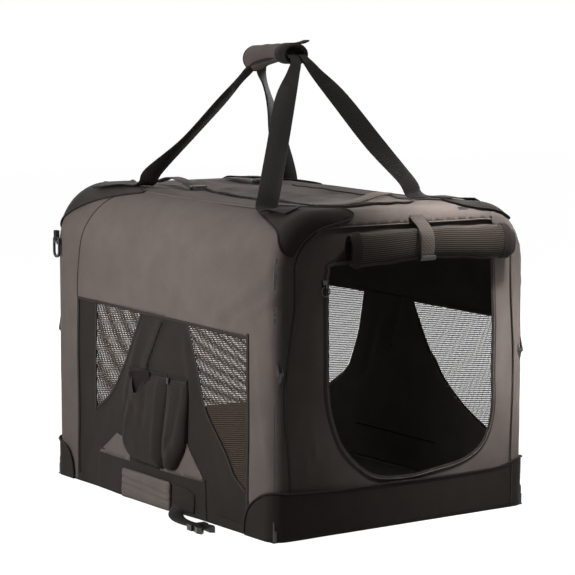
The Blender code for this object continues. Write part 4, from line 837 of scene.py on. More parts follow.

# %% [markdown]
# ## Pockets and low pieces on the left wall
# A pouch and a narrow zip pocket are sewn on the bell. Below them are a dark band and two corners of the grey wall
# cloth.


# %% Pouch and zip pocket
POUCH = turned_line(((0.0800, 0.2320, 0.003), (0.0900, 0.1600, 0.080), (0.0940, 0.0730, 0.040),
                     (-0.0395, 0.0690, 0.012), (-0.0395, 0.2320, 0.003)))
ZIP_POCKET = turned_line(((-0.0400, 0.2300, 0.003), (-0.0400, 0.0700, 0.006), (-0.0700, 0.0720, 0.022),
                          (-0.1000, 0.1150, 0.040), (-0.1010, 0.2300, 0.003)))
POUCH_SLIT = ((0.0720, 0.2190), (0.0480, 0.2255), (0.0230, 0.2280), (0.0200, 0.2200), (0.0340, 0.2080),
              (0.0460, 0.1900), (0.0560, 0.1880), (0.0660, 0.2020))


def nearest(point, line):
    """The distance from a point to a closed line."""
    best = 1.0
    for index, start in enumerate(line):
        end = line[(index + 1) % len(line)]
        run = end - start
        share = min(max((point - start).dot(run) / max(run.length_squared, 1e-12), 0), 1)
        best = min(best, (point - start - run * share).length)
    return best


def pocket_depth(outline, mouth, folds):
    """How far a pocket's face stands off the wall: 8 mm at its mouth and 22 mm near its foot, softly rounded towards
    the seams."""
    seams = [p for p in outline if p[1] < mouth - 0.003]

    def depth(y, z):
        edge = min(nearest(Vector((y, z)), seams) / 0.024, 1.0)
        face = 0.007 + 0.014 * soft_step(mouth - z, 0.0, 0.125)
        rise = math.sqrt(max(0.0, 1 - (1 - edge) ** 2))
        creases = sum(ridge(Vector((y, z)), *fold) for fold in folds)
        return 0.0022 + max(bell_lift(y, z), 0.0) * 0.5 + (face + creases + waves(y, z, 0.03, 0.0014, 61.0)) * rise
    return depth


POUCH_FOLDS = (
    ((0.060, 0.200), (0.078, 0.080), 0.010, 0.0018), ((0.030, 0.240), (0.020, 0.120), 0.008, -0.0022),
    ((-0.012, 0.250), (-0.024, 0.080), 0.006, 0.0016), ((0.084, 0.150), (0.020, 0.090), 0.012, 0.0018),
    ((0.088, 0.200), (0.040, 0.150), 0.006, -0.0020),
)
ZIP_FOLDS = (
    ((-0.060, 0.250), (-0.058, 0.080), 0.005, 0.0012), ((-0.084, 0.240), (-0.072, 0.090), 0.007, -0.0034),
    ((-0.070, 0.140), (-0.052, 0.085), 0.006, -0.0030),
)
for piece_name, node, outline, mouth, folds, size in (
    ("left_pouch_cloth", "left_pouch", POUCH, 0.232, POUCH_FOLDS, (0.133, 0.163)),
    ("left_zip_pocket_cloth", "left_zip_pocket", ZIP_POCKET, 0.230, ZIP_FOLDS, (0.061, 0.158)),
):
    slit = [divided([Vector(p) for p in POUCH_SLIT], 0.006, closed=True)] if node == "left_pouch" else []
    bm = cut_cloth([divided(outline, 0.006, closed=True)] + slit, 0.0035)
    depth = pocket_depth(divided(outline, 0.010, True), mouth, folds)
    area = lay_cloth(bm, left_wall, depth)
    pocket = make_piece(bm, piece_name, [dark_oxford, coated_lining], "base")
    give_thickness(fold_flat(pocket), 0.0012)
    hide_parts(node)
    print(piece_name, round(area * 1e4), "cm2")

    def pocket_place(y, z, out, depth=depth):
        """A point on the pocket's face."""
        return left_wall(y, z, out + depth(y, z))
    if node == "left_pouch":
        lines = [("pouch_mouth_hem", POUCH_SLIT, True, 0.0025),
                 ("pouch_top_hem", ((-0.006, 0.2245), (-0.0385, 0.2245)), False, 0.003)]
    else:
        lines = [("pocket_zip", ((-0.0480, 0.2260), (-0.0475, 0.0920)), False, 0.006),
                 ("pocket_top_hem", ((-0.0415, 0.2245), (-0.0985, 0.2245)), False, 0.003)]
    for strip_name, line, closed, width in lines:
        spots = divided([Vector(p) for p in line], 0.006, closed=closed)
        fold_flat(sew_strip(strip_name, pocket_place, spots, band_section(width, 0.0010), 0.0004, binding_tape,
                            "base", closed=closed))
pull_spot = pocket_place(-0.0480, 0.2230, 0.0030)
bm = bmesh.new()
bmesh.ops.create_cube(bm, size=1.0, matrix=Matrix.Translation(pull_spot) @ Matrix.Diagonal((0.004, 0.006, 0.011, 1)))
bmesh.ops.bevel(bm, geom=bm.edges[:], offset=0.0012, segments=2, profile=0.5, affect="EDGES", material=-1)
fold_flat(make_piece(bm, "pocket_zip_pull", [black_acetal], "base"))
# A shallow sheet behind the pouch's mouth: its near-black wine colour is partly the lining's own colour and partly
# painted shade for the pouch's deep inside.
lining_shape = [Vector((y, z)) for y, z in ((0.078, 0.223), (0.014, 0.232), (0.012, 0.190), (0.040, 0.172), (0.070, 0.172))]
bm = cut_cloth([divided(lining_shape, 0.008, closed=True)], 0.008)
area = lay_cloth(bm, left_wall, lambda y, z: 0.0045 + max(bell_lift(y, z), 0.0))
lining = fold_flat(make_piece(bm, "pouch_lining_painted_shade", [wine_lining_painted_shade], "base"))

# %% Low pieces of the left wall, and the low band on the right
LOW_PIECES = (
    ("grey_corner_rear", ((0.192, 0.066), (0.128, 0.108), (0.080, 0.100), (0.080, 0.066)), grey_oxford, 0.0016),
    ("grey_corner_front", ((-0.086, 0.150), (-0.102, 0.118), (-0.150, 0.066), (-0.020, 0.066)), grey_oxford,
     0.0016),
    ("low_band", ((0.192, 0.002), (0.192, 0.073), (0.100, 0.073), (-0.060, 0.070), (-0.152, 0.069),
                  (-0.160, 0.002)), dark_oxford, 0.0014),
)
for side_name, wall, turn in SIDES:
    for piece_name, corners, finish, out in LOW_PIECES if side_name == "left" else LOW_PIECES[2:]:
        outline = divided([Vector(p) for p in corners], 0.010, closed=True)
        bm = cut_cloth([outline], 0.008)
        width = max(p[0] for p in corners) - min(p[0] for p in corners)

        def low_lift(y, z, out=out):
            return out + max(0.0, bell_lift(y, z))
        area = lay_cloth(bm, wall, low_lift)
        slot_name = "grey_cloth" if finish is grey_oxford else "dark_cloth"
        piece = make_piece(bm, f"{side_name}_{piece_name}", [finish, coated_lining], "base")
        give_thickness(fold_flat(piece), 0.0010)
    strip = sew_strip(side_name + "_low_band_hem", wall,
                      divided([Vector(p) for p in LOW_PIECES[2][1][1:5]], 0.010), band_section(0.003, 0.0009), 0.0040,
                      binding_tape, "base")
    fold_flat(strip)
print("low pieces sewn")

# %% [markdown]
# ## End walls
# The front wall is one grey sheet with the door cut out of it. It bends at the frame's knees when the crate folds,
# so it blends from the lower legs' body to the arch's body.

# %% Front wall
DOOR = flowing_line(((-0.1585, 0.400), (-0.1580, 0.330), (-0.1580, 0.251), (-0.148, 0.187), (-0.122, 0.131),
                     (-0.066, 0.086), (0.000, 0.0765), (0.070, 0.082), (0.132, 0.093), (0.172, 0.118),
                     (0.190, 0.165), (0.1905, 0.240), (0.190, 0.330), (0.186, 0.420), (0.165, 0.440),
                     (0.000, 0.441), (-0.140, 0.440), (-0.156, 0.425)), closed=True, per_span=4)


def shoulder_line(inset_left, inset_right, low, high):
    """The end wall's outline, inside the arch by different insets, from the left foot over to the right one."""
    line = [(-HALF_WIDTH + inset_left, low), (-HALF_WIDTH + inset_left, 0.30)]
    for side, inset in ((-1, inset_left), (1, inset_right)):
        radius = SHOULDER - inset
        turns = [math.pi / 2 * k / 8 for k in range(9)]
        turns = turns if side < 0 else turns[::-1]
        for turn in turns:
            x = side * (ROOF_HALF + radius * math.cos(turn))
            line.append((x, min(SIDE_RISE + radius * math.sin(turn), high)))
    return [Vector(p) for p in line + [(HALF_WIDTH - inset_right, 0.30), (HALF_WIDTH - inset_right, low)]]


front_outline = divided(shoulder_line(0.014, 0.014, 0.030, 0.505), 0.012, closed=True)
bm = cut_cloth([front_outline, divided(DOOR, 0.012, closed=True)], 0.008)
area = lay_cloth(bm, front_wall)
front_cloth = make_piece(bm, "front_wall_cloth", [grey_oxford, coated_lining], None)
give_thickness(front_cloth, 0.0012)
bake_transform(front_cloth, "front_leg", "front_arch", start=(0, -0.35, KNEE_Z - 0.03), end=(0, -0.35, KNEE_Z + 0.03))
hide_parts("front_wall_lower", "front_wall_upper")
zip_track = [spot * 1.0 for spot in divided(DOOR, 0.008, closed=True)]
for strip_name, out, section, finish in (("door_zip_tape", 0.0006, band_section(0.010, 0.0012), binding_tape),
                                         ("door_zip_coil", 0.0016, round_section(0.0011), grey_tape)):
    strip = sew_strip(strip_name, front_wall, zip_track, section, out, finish, None, closed=True)
    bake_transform(strip, "front_leg", "front_arch", start=(0, -0.35, KNEE_Z - 0.03), end=(0, -0.35, KNEE_Z + 0.03))
print("front wall", round(area, 3), "m2")

# %% Rear wall and its net
VENT = turned_line(((-0.186, 0.094, 0.018), (0.186, 0.094, 0.018), (0.186, 0.420, 0.060), (-0.186, 0.420, 0.060)))
rear_outline = divided(shoulder_line(0.014, 0.014, 0.030, 0.505), 0.012, closed=True)
bm = cut_cloth([rear_outline, divided(VENT, 0.012, closed=True)], 0.008)
area = lay_cloth(bm, rear_wall)
rear_cloth = make_piece(bm, "rear_wall_cloth", [grey_oxford, coated_lining], None)
give_thickness(rear_cloth, 0.0012)
bm = cut_cloth([divided(VENT, 0.012, closed=True)], 0.010)
net_area = lay_cloth(bm, rear_wall, -0.0020)
rear_net = make_piece(bm, "rear_wall_net", [window_net], None)
for piece in (rear_cloth, rear_net):
    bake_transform(piece, "rear_leg", "rear_arch", start=(0, 0.35, KNEE_Z - 0.03), end=(0, 0.35, KNEE_Z + 0.03))
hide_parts("rear_wall_lower", "rear_wall_upper")
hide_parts("rear_mesh_lower", "rear_mesh_upper")
print("rear wall", round(area, 3), "m2")

# %% [markdown]
# ## Roof
# The roof is a grey sheet that laps down over both end walls as a narrow band. It rides on the roof's body, which
# comes straight down when the frame folds.

# %% Roof cloth
END_BAND = wrapped(0.024)
bm = cut_cloth([divided([Vector(p) for p in ((-END_BAND, -SEAM), (END_BAND, -SEAM), (END_BAND, SEAM),
                                             (-END_BAND, SEAM))], 0.012, closed=True)], 0.008)
area = lay_cloth(bm, roof)
roof_cloth = make_piece(bm, "roof_cloth", [grey_oxford, coated_lining], "roof")
give_thickness(roof_cloth, 0.0012)
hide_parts("roof_panel")
print("roof", round(area, 3), "m2")

for end_name, end in (("front", -1), ("rear", 1)):
    band_edge = divided([Vector((end * END_BAND, -SEAM)), Vector((end * END_BAND, SEAM))], 0.012)
    sew_strip(end_name + "_roof_band_piping", roof, band_edge, round_section(0.0014), 0.0004, grey_tape, "roof")

# %% Roof seams, hatch and hem
for side_name, side in (("left", -1), ("right", 1)):
    seam = divided([Vector((-END_BAND + 0.004, side * SEAM)), Vector((END_BAND - 0.004, side * SEAM))], 0.015)
    sew_strip(side_name + "_roof_seam", roof, seam, round_section(0.0016), 0.0004, grey_tape, "roof")
hatch_edge = turned_line(((0.120, -0.108, 0.0), (-0.270, -0.108, 0.055), (-0.270, 0.108, 0.055),
                          (0.120, 0.108, 0.0)), closed=False)
bm = cut_cloth([divided(hatch_edge, 0.010, closed=True)], 0.006)


def hatch_lift(u, s):
    """The flap lies a little loosely, so it ripples towards its edge."""
    ripple = 0.0006 * math.sin(u * 60 + 2 * math.sin(s * 40)) * soft_step(abs(s), 0.05, 0.108)
    return 0.0030 + ripple + waves(u, s, 0.035, 0.0014, 29.0)


def hatch_place(u, s, out=0.0):
    """A point on the hatch flap."""
    return roof(u, s, out + hatch_lift(u, s))


area = lay_cloth(bm, roof, hatch_lift)
hatch = make_piece(bm, "roof_hatch_flap", [grey_oxford, coated_lining], "roof")
give_thickness(hatch, 0.0012)
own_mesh(hatch)
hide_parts("hatch_flap")
zip_line = divided(hatch_edge, 0.010)
hatch_zip = sew_strip("roof_hatch_zip", hatch_place, zip_line, band_section(0.006, 0.0014), 0.0008, binding_tape,
                      "roof")
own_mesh(hatch_zip)


def hem_place(u, s, out=0.0):
    """The hem stands up off the roof towards its right end."""
    return hatch_place(u, s, out + 0.014 * soft_step(s, -0.060, 0.030))


hem_line = flowing_line([Vector(p) for p in ((-0.2330, -0.098), (-0.2520, -0.050), (-0.2600, 0.000), (-0.2560, 0.030))],
                        per_span=6)
hatch_hem = sew_strip("roof_hatch_hem", hem_place, hem_line, band_section(0.034, 0.0030), 0.0018, grey_tape,
                      "hatch")
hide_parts("hatch_hem")
print("roof dressed")

# %% [markdown]
# ## Skirt and corner patches
# The crate stands in a dark skirt that climbs at its corners in round lobes, and its four top corners are
# covered by dark patches of the same cloth, where the frame would otherwise wear through.


# %% Skirt
FRONT_HALF = HALF_WIDTH - CORNER


def girdle(p, h, out, end):
    """The point p round an end wall from its middle, at a height h; past the soft corners it is on the sides."""
    side = -1 if p < 0 else 1
    reach = abs(p) - FRONT_HALF
    angle = min(max(reach, 0) / CORNER, math.pi / 2)
    radius = CORNER + out
    x = min(abs(p), FRONT_HALF) + radius * math.sin(angle)
    past = max(0, reach - CORNER * math.pi / 2)
    y = HALF_LENGTH - CORNER + radius * math.cos(angle) - past
    return Vector((side * x, end * y, h))


SKIRT_TOP = ((-0.3296, 0.004), (-0.3270, 0.028), (-0.3150, 0.050), (-0.2900, 0.068), (-0.2600, 0.080),
             (-0.2300, 0.078), (-0.1480, 0.074), (-0.0440, 0.073), (0.0930, 0.071), (0.2000, 0.073),
             (0.2450, 0.084), (0.2800, 0.078), (0.3080, 0.060), (0.3240, 0.036), (0.3296, 0.004))
REAR_SKIRT_TOP = ((-0.3160, 0.004), (-0.3150, 0.020), (-0.3076, 0.042), (-0.2916, 0.058), (-0.2686, 0.065),
                  (-0.2300, 0.071), (-0.1480, 0.073), (0.0000, 0.072), (0.1480, 0.073), (0.2300, 0.071),
                  (0.2686, 0.065), (0.2916, 0.058), (0.3076, 0.042), (0.3150, 0.020), (0.3160, 0.004))
for end_name, end, skirt_top in (("front", -1, SKIRT_TOP), ("rear", 1, REAR_SKIRT_TOP)):
    skirt_edge = flowing_line(skirt_top, per_span=4)
    low_corners = [Vector((skirt_top[-1][0], 0.0004)), Vector((skirt_top[0][0], 0.0004))]
    skirt_outline = divided(skirt_edge + low_corners, 0.012, closed=True)

    def skirt_place(p, h, out=0.0, end=end):
        return girdle(p, h, out + 0.0038 + waves(p, h, 0.06, 0.0010, 41.0 + end), end)
    bm = cut_cloth([skirt_outline], 0.008)
    area = lay_cloth(bm, skirt_place)
    skirt = make_piece(bm, end_name + "_skirt", [dark_oxford, coated_lining], "base")
    give_thickness(skirt, 0.0014)
    sew_strip(end_name + "_skirt_piping", skirt_place, divided(skirt_edge, 0.010), round_section(0.0018), 0.0010,
              piping_cord, "base")
    if end < 0:
        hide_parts("base_skirt")
        sew_strip("front_skirt_seam", skirt_place, divided([Vector((0.228, 0.004)), Vector((0.229, 0.074))], 0.01),
                  round_section(0.0012), 0.0006, binding_tape, "base")
for side_name, wall, turn in SIDES:
    bm = cut_cloth([divided([Vector(p) for p in ((-0.275, 0.0006), (0.275, 0.0006), (0.275, 0.015),
                                                 (-0.275, 0.015))], 0.02, closed=True)], 0.008)
    area = lay_cloth(bm, wall, 0.0012)
    edge_band = make_piece(bm, side_name + "_skirt_band", [dark_oxford, coated_lining], "base")
    give_thickness(fold_flat(edge_band), 0.0010)
print("skirt sewn")

# %% Corner patches
FRONT_PATCH = ((-0.205, 0.185), (-0.224, 0.2036), (-0.283, 0.2266), (-0.326, 0.2439), (-0.342, 0.264),
               (-0.3514, 0.2745), (-0.3620, 0.2770), (-0.3690, 0.2700), (-0.3700, 0.2500), (-0.3676, 0.2065),
               (-0.3600, 0.1500), (-0.3540, 0.1150), (-0.3450, 0.1050), (-0.3280, 0.1180), (-0.2850, 0.1450),
               (-0.2400, 0.1650))
RIGHT_FRONT_PATCH = ((-0.225, 0.185), (-0.285, 0.222), (-0.312, 0.236), (-0.326, 0.243), (-0.336, 0.240),
                     (-0.3430, 0.228), (-0.3470, 0.208), (-0.3490, 0.185), (-0.3480, 0.160), (-0.3430, 0.135),
                     (-0.3370, 0.120), (-0.3250, 0.118), (-0.3000, 0.130), (-0.2550, 0.155))
REAR_PATCH = ((0.150, 0.188), (0.180, 0.202), (0.230, 0.218), (0.278, 0.235), (0.320, 0.256), (0.345, 0.277),
              (0.358, 0.284), (0.3690, 0.280), (0.3720, 0.250), (0.3700, 0.206), (0.3660, 0.165), (0.3600, 0.125),
              (0.3500, 0.105), (0.3250, 0.108), (0.2800, 0.130), (0.2100, 0.165))
for end_name, side_name, corners in (("front", "left", FRONT_PATCH), ("front", "right", RIGHT_FRONT_PATCH),
                                     ("rear", "left", REAR_PATCH), ("rear", "right", REAR_PATCH)):
    for side in [-1 if side_name == "left" else 1]:
        line = flowing_line([(u, side * s) for u, s in corners], closed=True, per_span=4)

        def patch_place(u, s, out=0.0, side=side):
            h = GIRTH - abs(s)
            blend_in = soft_step(abs(s), SEAM, SEAM + 0.10)
            drape = calm_ends(u, blend_in * wall_drape(u, h, 1.3 if side < 0 else 7.9))
            return shell(u, s, out + drape)
        bm = cut_cloth([divided(line, 0.010, closed=True)], 0.007)
        area = lay_cloth(bm, patch_place, 0.0026)
        patch = make_piece(bm, f"{end_name}_{side_name}_corner_patch_cloth", [dark_oxford, coated_lining], "roof")
        give_thickness(patch, 0.0014)
        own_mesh(patch)
        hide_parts(f"{end_name}_{side_name}_corner_patch")
        width = max(u for u, s in corners) - min(u for u, s in corners)
        edge = sew_strip(f"{end_name}_{side_name}_patch_piping", patch_place, divided(line, 0.008, closed=True),
                         round_section(0.0014), 0.0030, piping_cord, "roof", closed=True)
        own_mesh(edge)
        print(patch.name, round(area * 1e4), "cm2")

# %% [markdown]
# ## Carrying handle
# Two webbing loops rise from the corner patches, fold double and meet in a padded wrap that closes round them.
# The webbing is dragged along its line, since it is narrow and stiff; the wrap is a padded sleeve.

# %% Carry loops
LANDINGS = {"left_front": (-0.200, -0.245), "right_front": (0.138, -0.205), "left_rear": (-0.158, 0.205),
            "right_rear": (0.208, 0.285)}
MOUTHS = {"front": (-0.052, 0.7570), "rear": (0.080, 0.7440)}
TWISTS = {"left_front": (-0.05, -0.25), "right_front": (-0.30, -0.25), "left_rear": (0.42, 0.40),
          "right_rear": (0.25, 0.75)}
for side_name, side in (("left", -1), ("right", 1)):
    spots, sides, sizes = [], [], []
    for end_name, end in (("front", -1), ("rear", 1)):
        land_x, land_y = LANDINGS[side_name + "_" + end_name]
        mouth = Vector((side * 0.011 + (0.003 if end < 0 else 0.0), *MOUTHS[end_name]))
        low_twist, high_twist = TWISTS[side_name + "_" + end_name]
        foot = roof(land_y, land_x, 0.006) if abs(land_x) < ROOF_HALF else shell(land_y, land_x, 0.006)
        anchor = shell(end * 0.305, side * 0.190, 0.0050)
        across = Vector((1, 0, 0))
        low_across = Matrix.Rotation(low_twist, 3, "Z") @ across
        high_across = Matrix.Rotation(high_twist, 3, "Z") @ across
        bow = Vector((0.006 * side if end < 0 else 0.0, 0, 0))
        half = [
            (anchor, Vector((math.cos(0.27), 0, -side * math.sin(0.27))), 1.0, 1.0),
            (anchor.lerp(foot, 0.6) + Vector((0, 0, 0.001)), Vector((1, 0, 0)), 1.0, 1.0),
            (foot, across, 1.0, 1.0),
            (foot.lerp(mouth, 0.10) + Vector((0, 0, 0.004)), across, 1.0, 1.0),
            (foot.lerp(mouth, 0.40) + bow * 0.6 - Vector((0, 0, 0.003)), low_across, 0.98, 1.0),
            (foot.lerp(mouth, 0.72) + bow - Vector((0, 0, 0.002)), high_across, 0.94, 1.1),
            (foot.lerp(mouth, 0.90), high_across, 0.60, 1.9),
            (mouth, Vector((1, 0, 0)), 0.46, 2.4),
            (Vector((side * 0.011, mouth.y - end * 0.022, mouth.z + 0.009)), Vector((1, 0, 0)), 0.46, 2.2),
        ]
        half = half if end < 0 else half[::-1]
        for spot, across_here, wide, thick in half:
            spots.append(spot)
            sides.append(across_here)
            sizes.append(Vector((wide, thick)))
    line = flowing_line(spots, per_span=7)
    turns = flowing_line(sides, per_span=7)
    scales = flowing_line(sizes, per_span=7)
    frames = []
    for index, spot in enumerate(line):
        ahead = line[min(index + 1, len(line) - 1)] - line[max(index - 1, 0)]
        frames.append(frame_at(spot, ahead, turns[index], scales[index].x, scales[index].y))
    bm = bmesh.new()
    length = drag_section(bm, band_section(0.038, 0.0019), frames)
    keep_lengths(bm)
    loop = make_piece(bm, side_name + "_webbing_loop", [black_webbing], "roof", sharp=60)
    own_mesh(loop)
    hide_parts(side_name + "_carry_loop")
    print(loop.name, "is", round(length, 3), "m of webbing")

# %% Padded wrap
WRAP_FRONT, WRAP_REAR = -0.040, 0.084


def wrap_place(turn, y, out=0.0):
    """A point on the wrap, turn radians round it. It is slack, so it sags over the straps at both ends."""
    share = (y - WRAP_FRONT) / (WRAP_REAR - WRAP_FRONT)
    bow = math.sin(math.pi * share)
    middle = 0.7680 - 0.0075 * share + 0.0065 * bow
    half_high = 0.0178 + 0.0047 * share - 0.0045 * bow + 0.0004 * math.sin(share * 23 + turn * 3)
    half_wide = 0.0255 - 0.0010 * bow
    return Vector(((half_wide + out) * math.cos(turn), y, middle + (half_high + out) * math.sin(turn)))


bm = cut_cloth([divided([Vector((0, WRAP_FRONT)), Vector((0.130, WRAP_FRONT)), Vector((0.130, WRAP_REAR)),
                         Vector((0, WRAP_REAR))], 0.006, closed=True)], 0.005)
area = lay_cloth(bm, lambda a, y, out: wrap_place(a / 0.130 * math.tau, y, out))
wrap = make_piece(bm, "padded_handle_wrap", [grey_oxford, coated_lining], "handle", sharp=70)
give_thickness(wrap, 0.0035)
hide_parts("handle_wrap")
round_wrap = [math.tau * k / 40 for k in range(40)]
for piping_name, y, radius, finish in (("wrap_front_piping", WRAP_FRONT, 0.0026, binding_tape),
                                       ("wrap_rear_piping", WRAP_REAR, 0.0022, binding_tape)):
    sew_strip(piping_name, wrap_place, [(turn, y) for turn in round_wrap], round_section(radius), -0.0016, finish,
              "handle", closed=True)
sew_strip("wrap_front_binding", wrap_place, [(turn, WRAP_FRONT + 0.0135) for turn in round_wrap],
          band_section(0.026, 0.0016), 0.0008, dark_oxford, "handle", closed=True)
flap_spots = flowing_line([Vector((x, -0.0270, z)) for x, z in (
    (-0.0160, 0.7830), (-0.0060, 0.7860), (0.0060, 0.7868), (0.0160, 0.7872), (0.0250, 0.7890), (0.0330, 0.7918))],
    per_span=5)
flap_frames = []
for index, spot in enumerate(flap_spots):
    ahead = flap_spots[min(index + 1, len(flap_spots) - 1)] - flap_spots[max(index - 1, 0)]
    flap_frames.append(frame_at(spot, ahead, Vector((0, 1, 0)), 1 - 0.35 * (index / (len(flap_spots) - 1)) ** 4))
bm = bmesh.new()
drag_section(bm, band_section(0.026, 0.0026), flap_frames)
keep_lengths(bm)
flap = make_piece(bm, "wrap_closing_flap", [dark_oxford], "wrap_flap", sharp=60)
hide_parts("wrap_flap")
print("handle wrapped")

# %% [markdown]
# ## Rolled door
# The net door is rolled up over its opening and held by a webbing tie with a toggle. The roll is a spiral of net
# between two ends of dark cloth, pinched where the tie holds it.


# %% Roll
def roll_section(grow, turns=2.0, steps=52, start=-60):
    """One closed section of a spiral roll of thin cloth."""
    outer, inner = [], []
    for step in range(steps + 1):
        share = step / steps
        angle = math.radians(start) - math.tau * turns * share
        shrink = 1 - 0.42 * share + grow
        for line, thick in ((outer, 0.0), (inner, 0.0011)):
            line.append((0.0146 * (shrink - thick / 0.016) * math.cos(angle),
                         0.0296 * (shrink - thick / 0.030) * math.sin(angle)))
    return outer + inner[::-1]


def roll_frames(low, high, count, pinch=0.0):
    """Frames along the roll, fuller or slimmer from place to place."""
    made = []
    for step in range(count + 1):
        x = low + (high - low) * step / count
        full = 1 + 0.030 * math.sin(x * 41 + 1.0) + 0.020 * math.sin(x * 97)
        full *= 1 - pinch * math.exp(-((x - 0.018) / 0.030) ** 2)
        full *= 1 - 0.30 * soft_step(x, 0.196, 0.214) - 0.22 * soft_step(-x, 0.112, 0.130)
        sag = 0.0025 * math.sin(x * 23 + 0.6) - 0.004 * soft_step(x, 0.190, 0.212)
        made.append(frame_at(Vector((x, -0.3680, 0.4635 + sag)), Vector((1, 0, 0)), Vector((0, 1, 0)), full, full))
    return made


for piece_name, low, high, grow, finish, slot_name, count in (
    ("rolled_net_door", -0.1200, 0.1880, 0.0, door_net, "net", 60),
    ("roll_left_end", -0.1285, -0.1110, 0.05, dark_oxford, "dark_cloth", 8),
    ("roll_right_end", 0.1850, 0.2120, 0.05, dark_oxford, "dark_cloth", 16),
    ("roll_core", -0.1200, 0.2000, -0.12, dark_oxford, "dark_cloth", 40),
):
    bm = bmesh.new()
    drag_section(bm, roll_section(grow), roll_frames(low, high, count, 0.13))
    keep_lengths(bm)
    roll = make_piece(bm, piece_name, [finish], "roof", sharp=60)
    if piece_name == "rolled_net_door":
        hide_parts("rolled_door")
print("door rolled")

# %% Tie over the roll
TIE_LINE = ((-0.3528, 0.5090), (-0.3600, 0.5010), (-0.3690, 0.4955), (-0.3785, 0.4870), (-0.3838, 0.4770),
            (-0.3852, 0.4650), (-0.3845, 0.4530), (-0.3838, 0.4470))
tie_spots = flowing_line([(0.0190, y, z) for y, z in TIE_LINE], per_span=6)
tie_frames = []
for index, spot in enumerate(tie_spots):
    ahead = tie_spots[min(index + 1, len(tie_spots) - 1)] - tie_spots[max(index - 1, 0)]
    tie_frames.append(frame_at(spot, ahead, Vector((1, 0, 0))))
bm = bmesh.new()
drag_section(bm, band_section(0.027, 0.0018), tie_frames)
keep_lengths(bm)
tie = make_piece(bm, "webbing_door_tie", [tie_webbing], "door_tie", sharp=60)
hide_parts("door_tie")
loop_spots = flowing_line([Vector(p) for p in ((0.0035, -0.3790, 0.4860), (0.0020, -0.3870, 0.4780),
                                               (0.0010, -0.3885, 0.4600), (0.0030, -0.3870, 0.4430))], per_span=5)
bm = bmesh.new()
loop_frames = []
for index, spot in enumerate(loop_spots):
    ahead = loop_spots[min(index + 1, len(loop_spots) - 1)] - loop_spots[max(index - 1, 0)]
    loop_frames.append(frame_at(spot, ahead, Vector((1, 0, 0))))
drag_section(bm, round_section(0.0022), loop_frames)
keep_lengths(bm)
make_piece(bm, "toggle_cord", [piping_cord], "door_tie", sharp=60)

# %% [markdown]
# ## Roof ties
# Two short lengths of grey webbing lie on the roof behind the handle, each with a black stop. They hold the
# folded crate shut.

# %% Roof ties
for side_name, side in (("left", -1), ("right", 1)):
    arch_rise = 0.013 if side < 0 else 0.004
    first, run = (0.280, 0.150) if side < 0 else (0.300, 0.100)
    stations = []
    for step in range(19):
        share = step / 18
        u = first - run * share
        lift = 0.003 + arch_rise * math.sin(math.pi * share) ** 1.5
        stations.append((roof(u, side * 0.090, lift), 0))
    frames = []
    for index, (spot, _) in enumerate(stations):
        ahead = stations[min(index + 1, 18)][0] - stations[max(index - 1, 0)][0]
        frames.append(frame_at(spot, ahead, Vector((1, 0, 0))))
    bm = bmesh.new()
    drag_section(bm, band_section(0.025, 0.0017), frames)
    keep_lengths(bm)
    roof_tie = make_piece(bm, side_name + "_webbing_roof_tie", [grey_tape], "roof", sharp=60)
    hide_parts(side_name + "_roof_tie")
    bm = bmesh.new()
    spot = roof(first - run, side * 0.090, 0.006)
    bmesh.ops.create_cube(bm, size=1.0, matrix=Matrix.Translation(spot) @ Matrix.Diagonal((0.029, 0.016, 0.008, 1)))
    bmesh.ops.bevel(bm, geom=bm.edges[:], offset=0.002, segments=3, profile=0.5, affect="EDGES", material=-1)
    make_piece(bm, side_name + "_roof_tie_stop", [black_acetal], "roof")

# %% [markdown]
# ## Padded sleeve
# A padded grey sleeve low on the left wall is quilted with two rows of stitching. It is the crate's side grip.

# %% Carry sleeve
bm = cut_cloth([divided(turned_line(((-0.058, 0.0015, 0.006), (-0.058, 0.052, 0.006), (0.098, 0.053, 0.006),
                                     (0.098, 0.0015, 0.006))), 0.006, closed=True)], 0.003)


SLEEVE_ROWS = ((0.0318, 0.055), (0.0208, 0.055))


def sleeve_rise(y, z):
    """The pad swells between its seams and its two rows of stitching."""
    edge = min(y + 0.058, 0.098 - y, z - 0.0015, 0.0525 - z) / 0.010
    swell = math.sqrt(max(0.0, 1 - (1 - min(edge, 1.0)) ** 2))
    rows = min(abs(z - SLEEVE_ROWS[0][0] - SLEEVE_ROWS[0][1] * y), abs(z - SLEEVE_ROWS[1][0] - SLEEVE_ROWS[1][1] * y))
    quilt = 1 - 0.45 * math.exp(-(rows / 0.0016) ** 2)
    rise = 0.0038 + max(0.0, bell_lift(y, z))
    return rise + 0.0052 * swell * quilt + waves(y, z, 0.03, 0.0012, 51.0) * swell


area = lay_cloth(bm, left_wall, sleeve_rise)
sleeve = make_piece(bm, "padded_side_sleeve", [grey_oxford, coated_lining], "base", sharp=80)
give_thickness(fold_flat(sleeve), 0.0030)
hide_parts("left_carry_sleeve")


def patch_lift(y, z):
    """The strap's patch lies on the low band."""
    return 0.0034 + max(0.0, bell_lift(y, z))


bm = cut_cloth([divided([Vector(p) for p in ((-0.061, 0.006), (-0.061, 0.050), (-0.103, 0.048), (-0.126, 0.040),
                                             (-0.126, 0.010))], 0.008, closed=True)], 0.008)
area = lay_cloth(bm, left_wall, patch_lift)
strap_patch = make_piece(bm, "strap_anchor_patch", [dark_oxford, coated_lining], "base")
give_thickness(fold_flat(strap_patch), 0.0010)
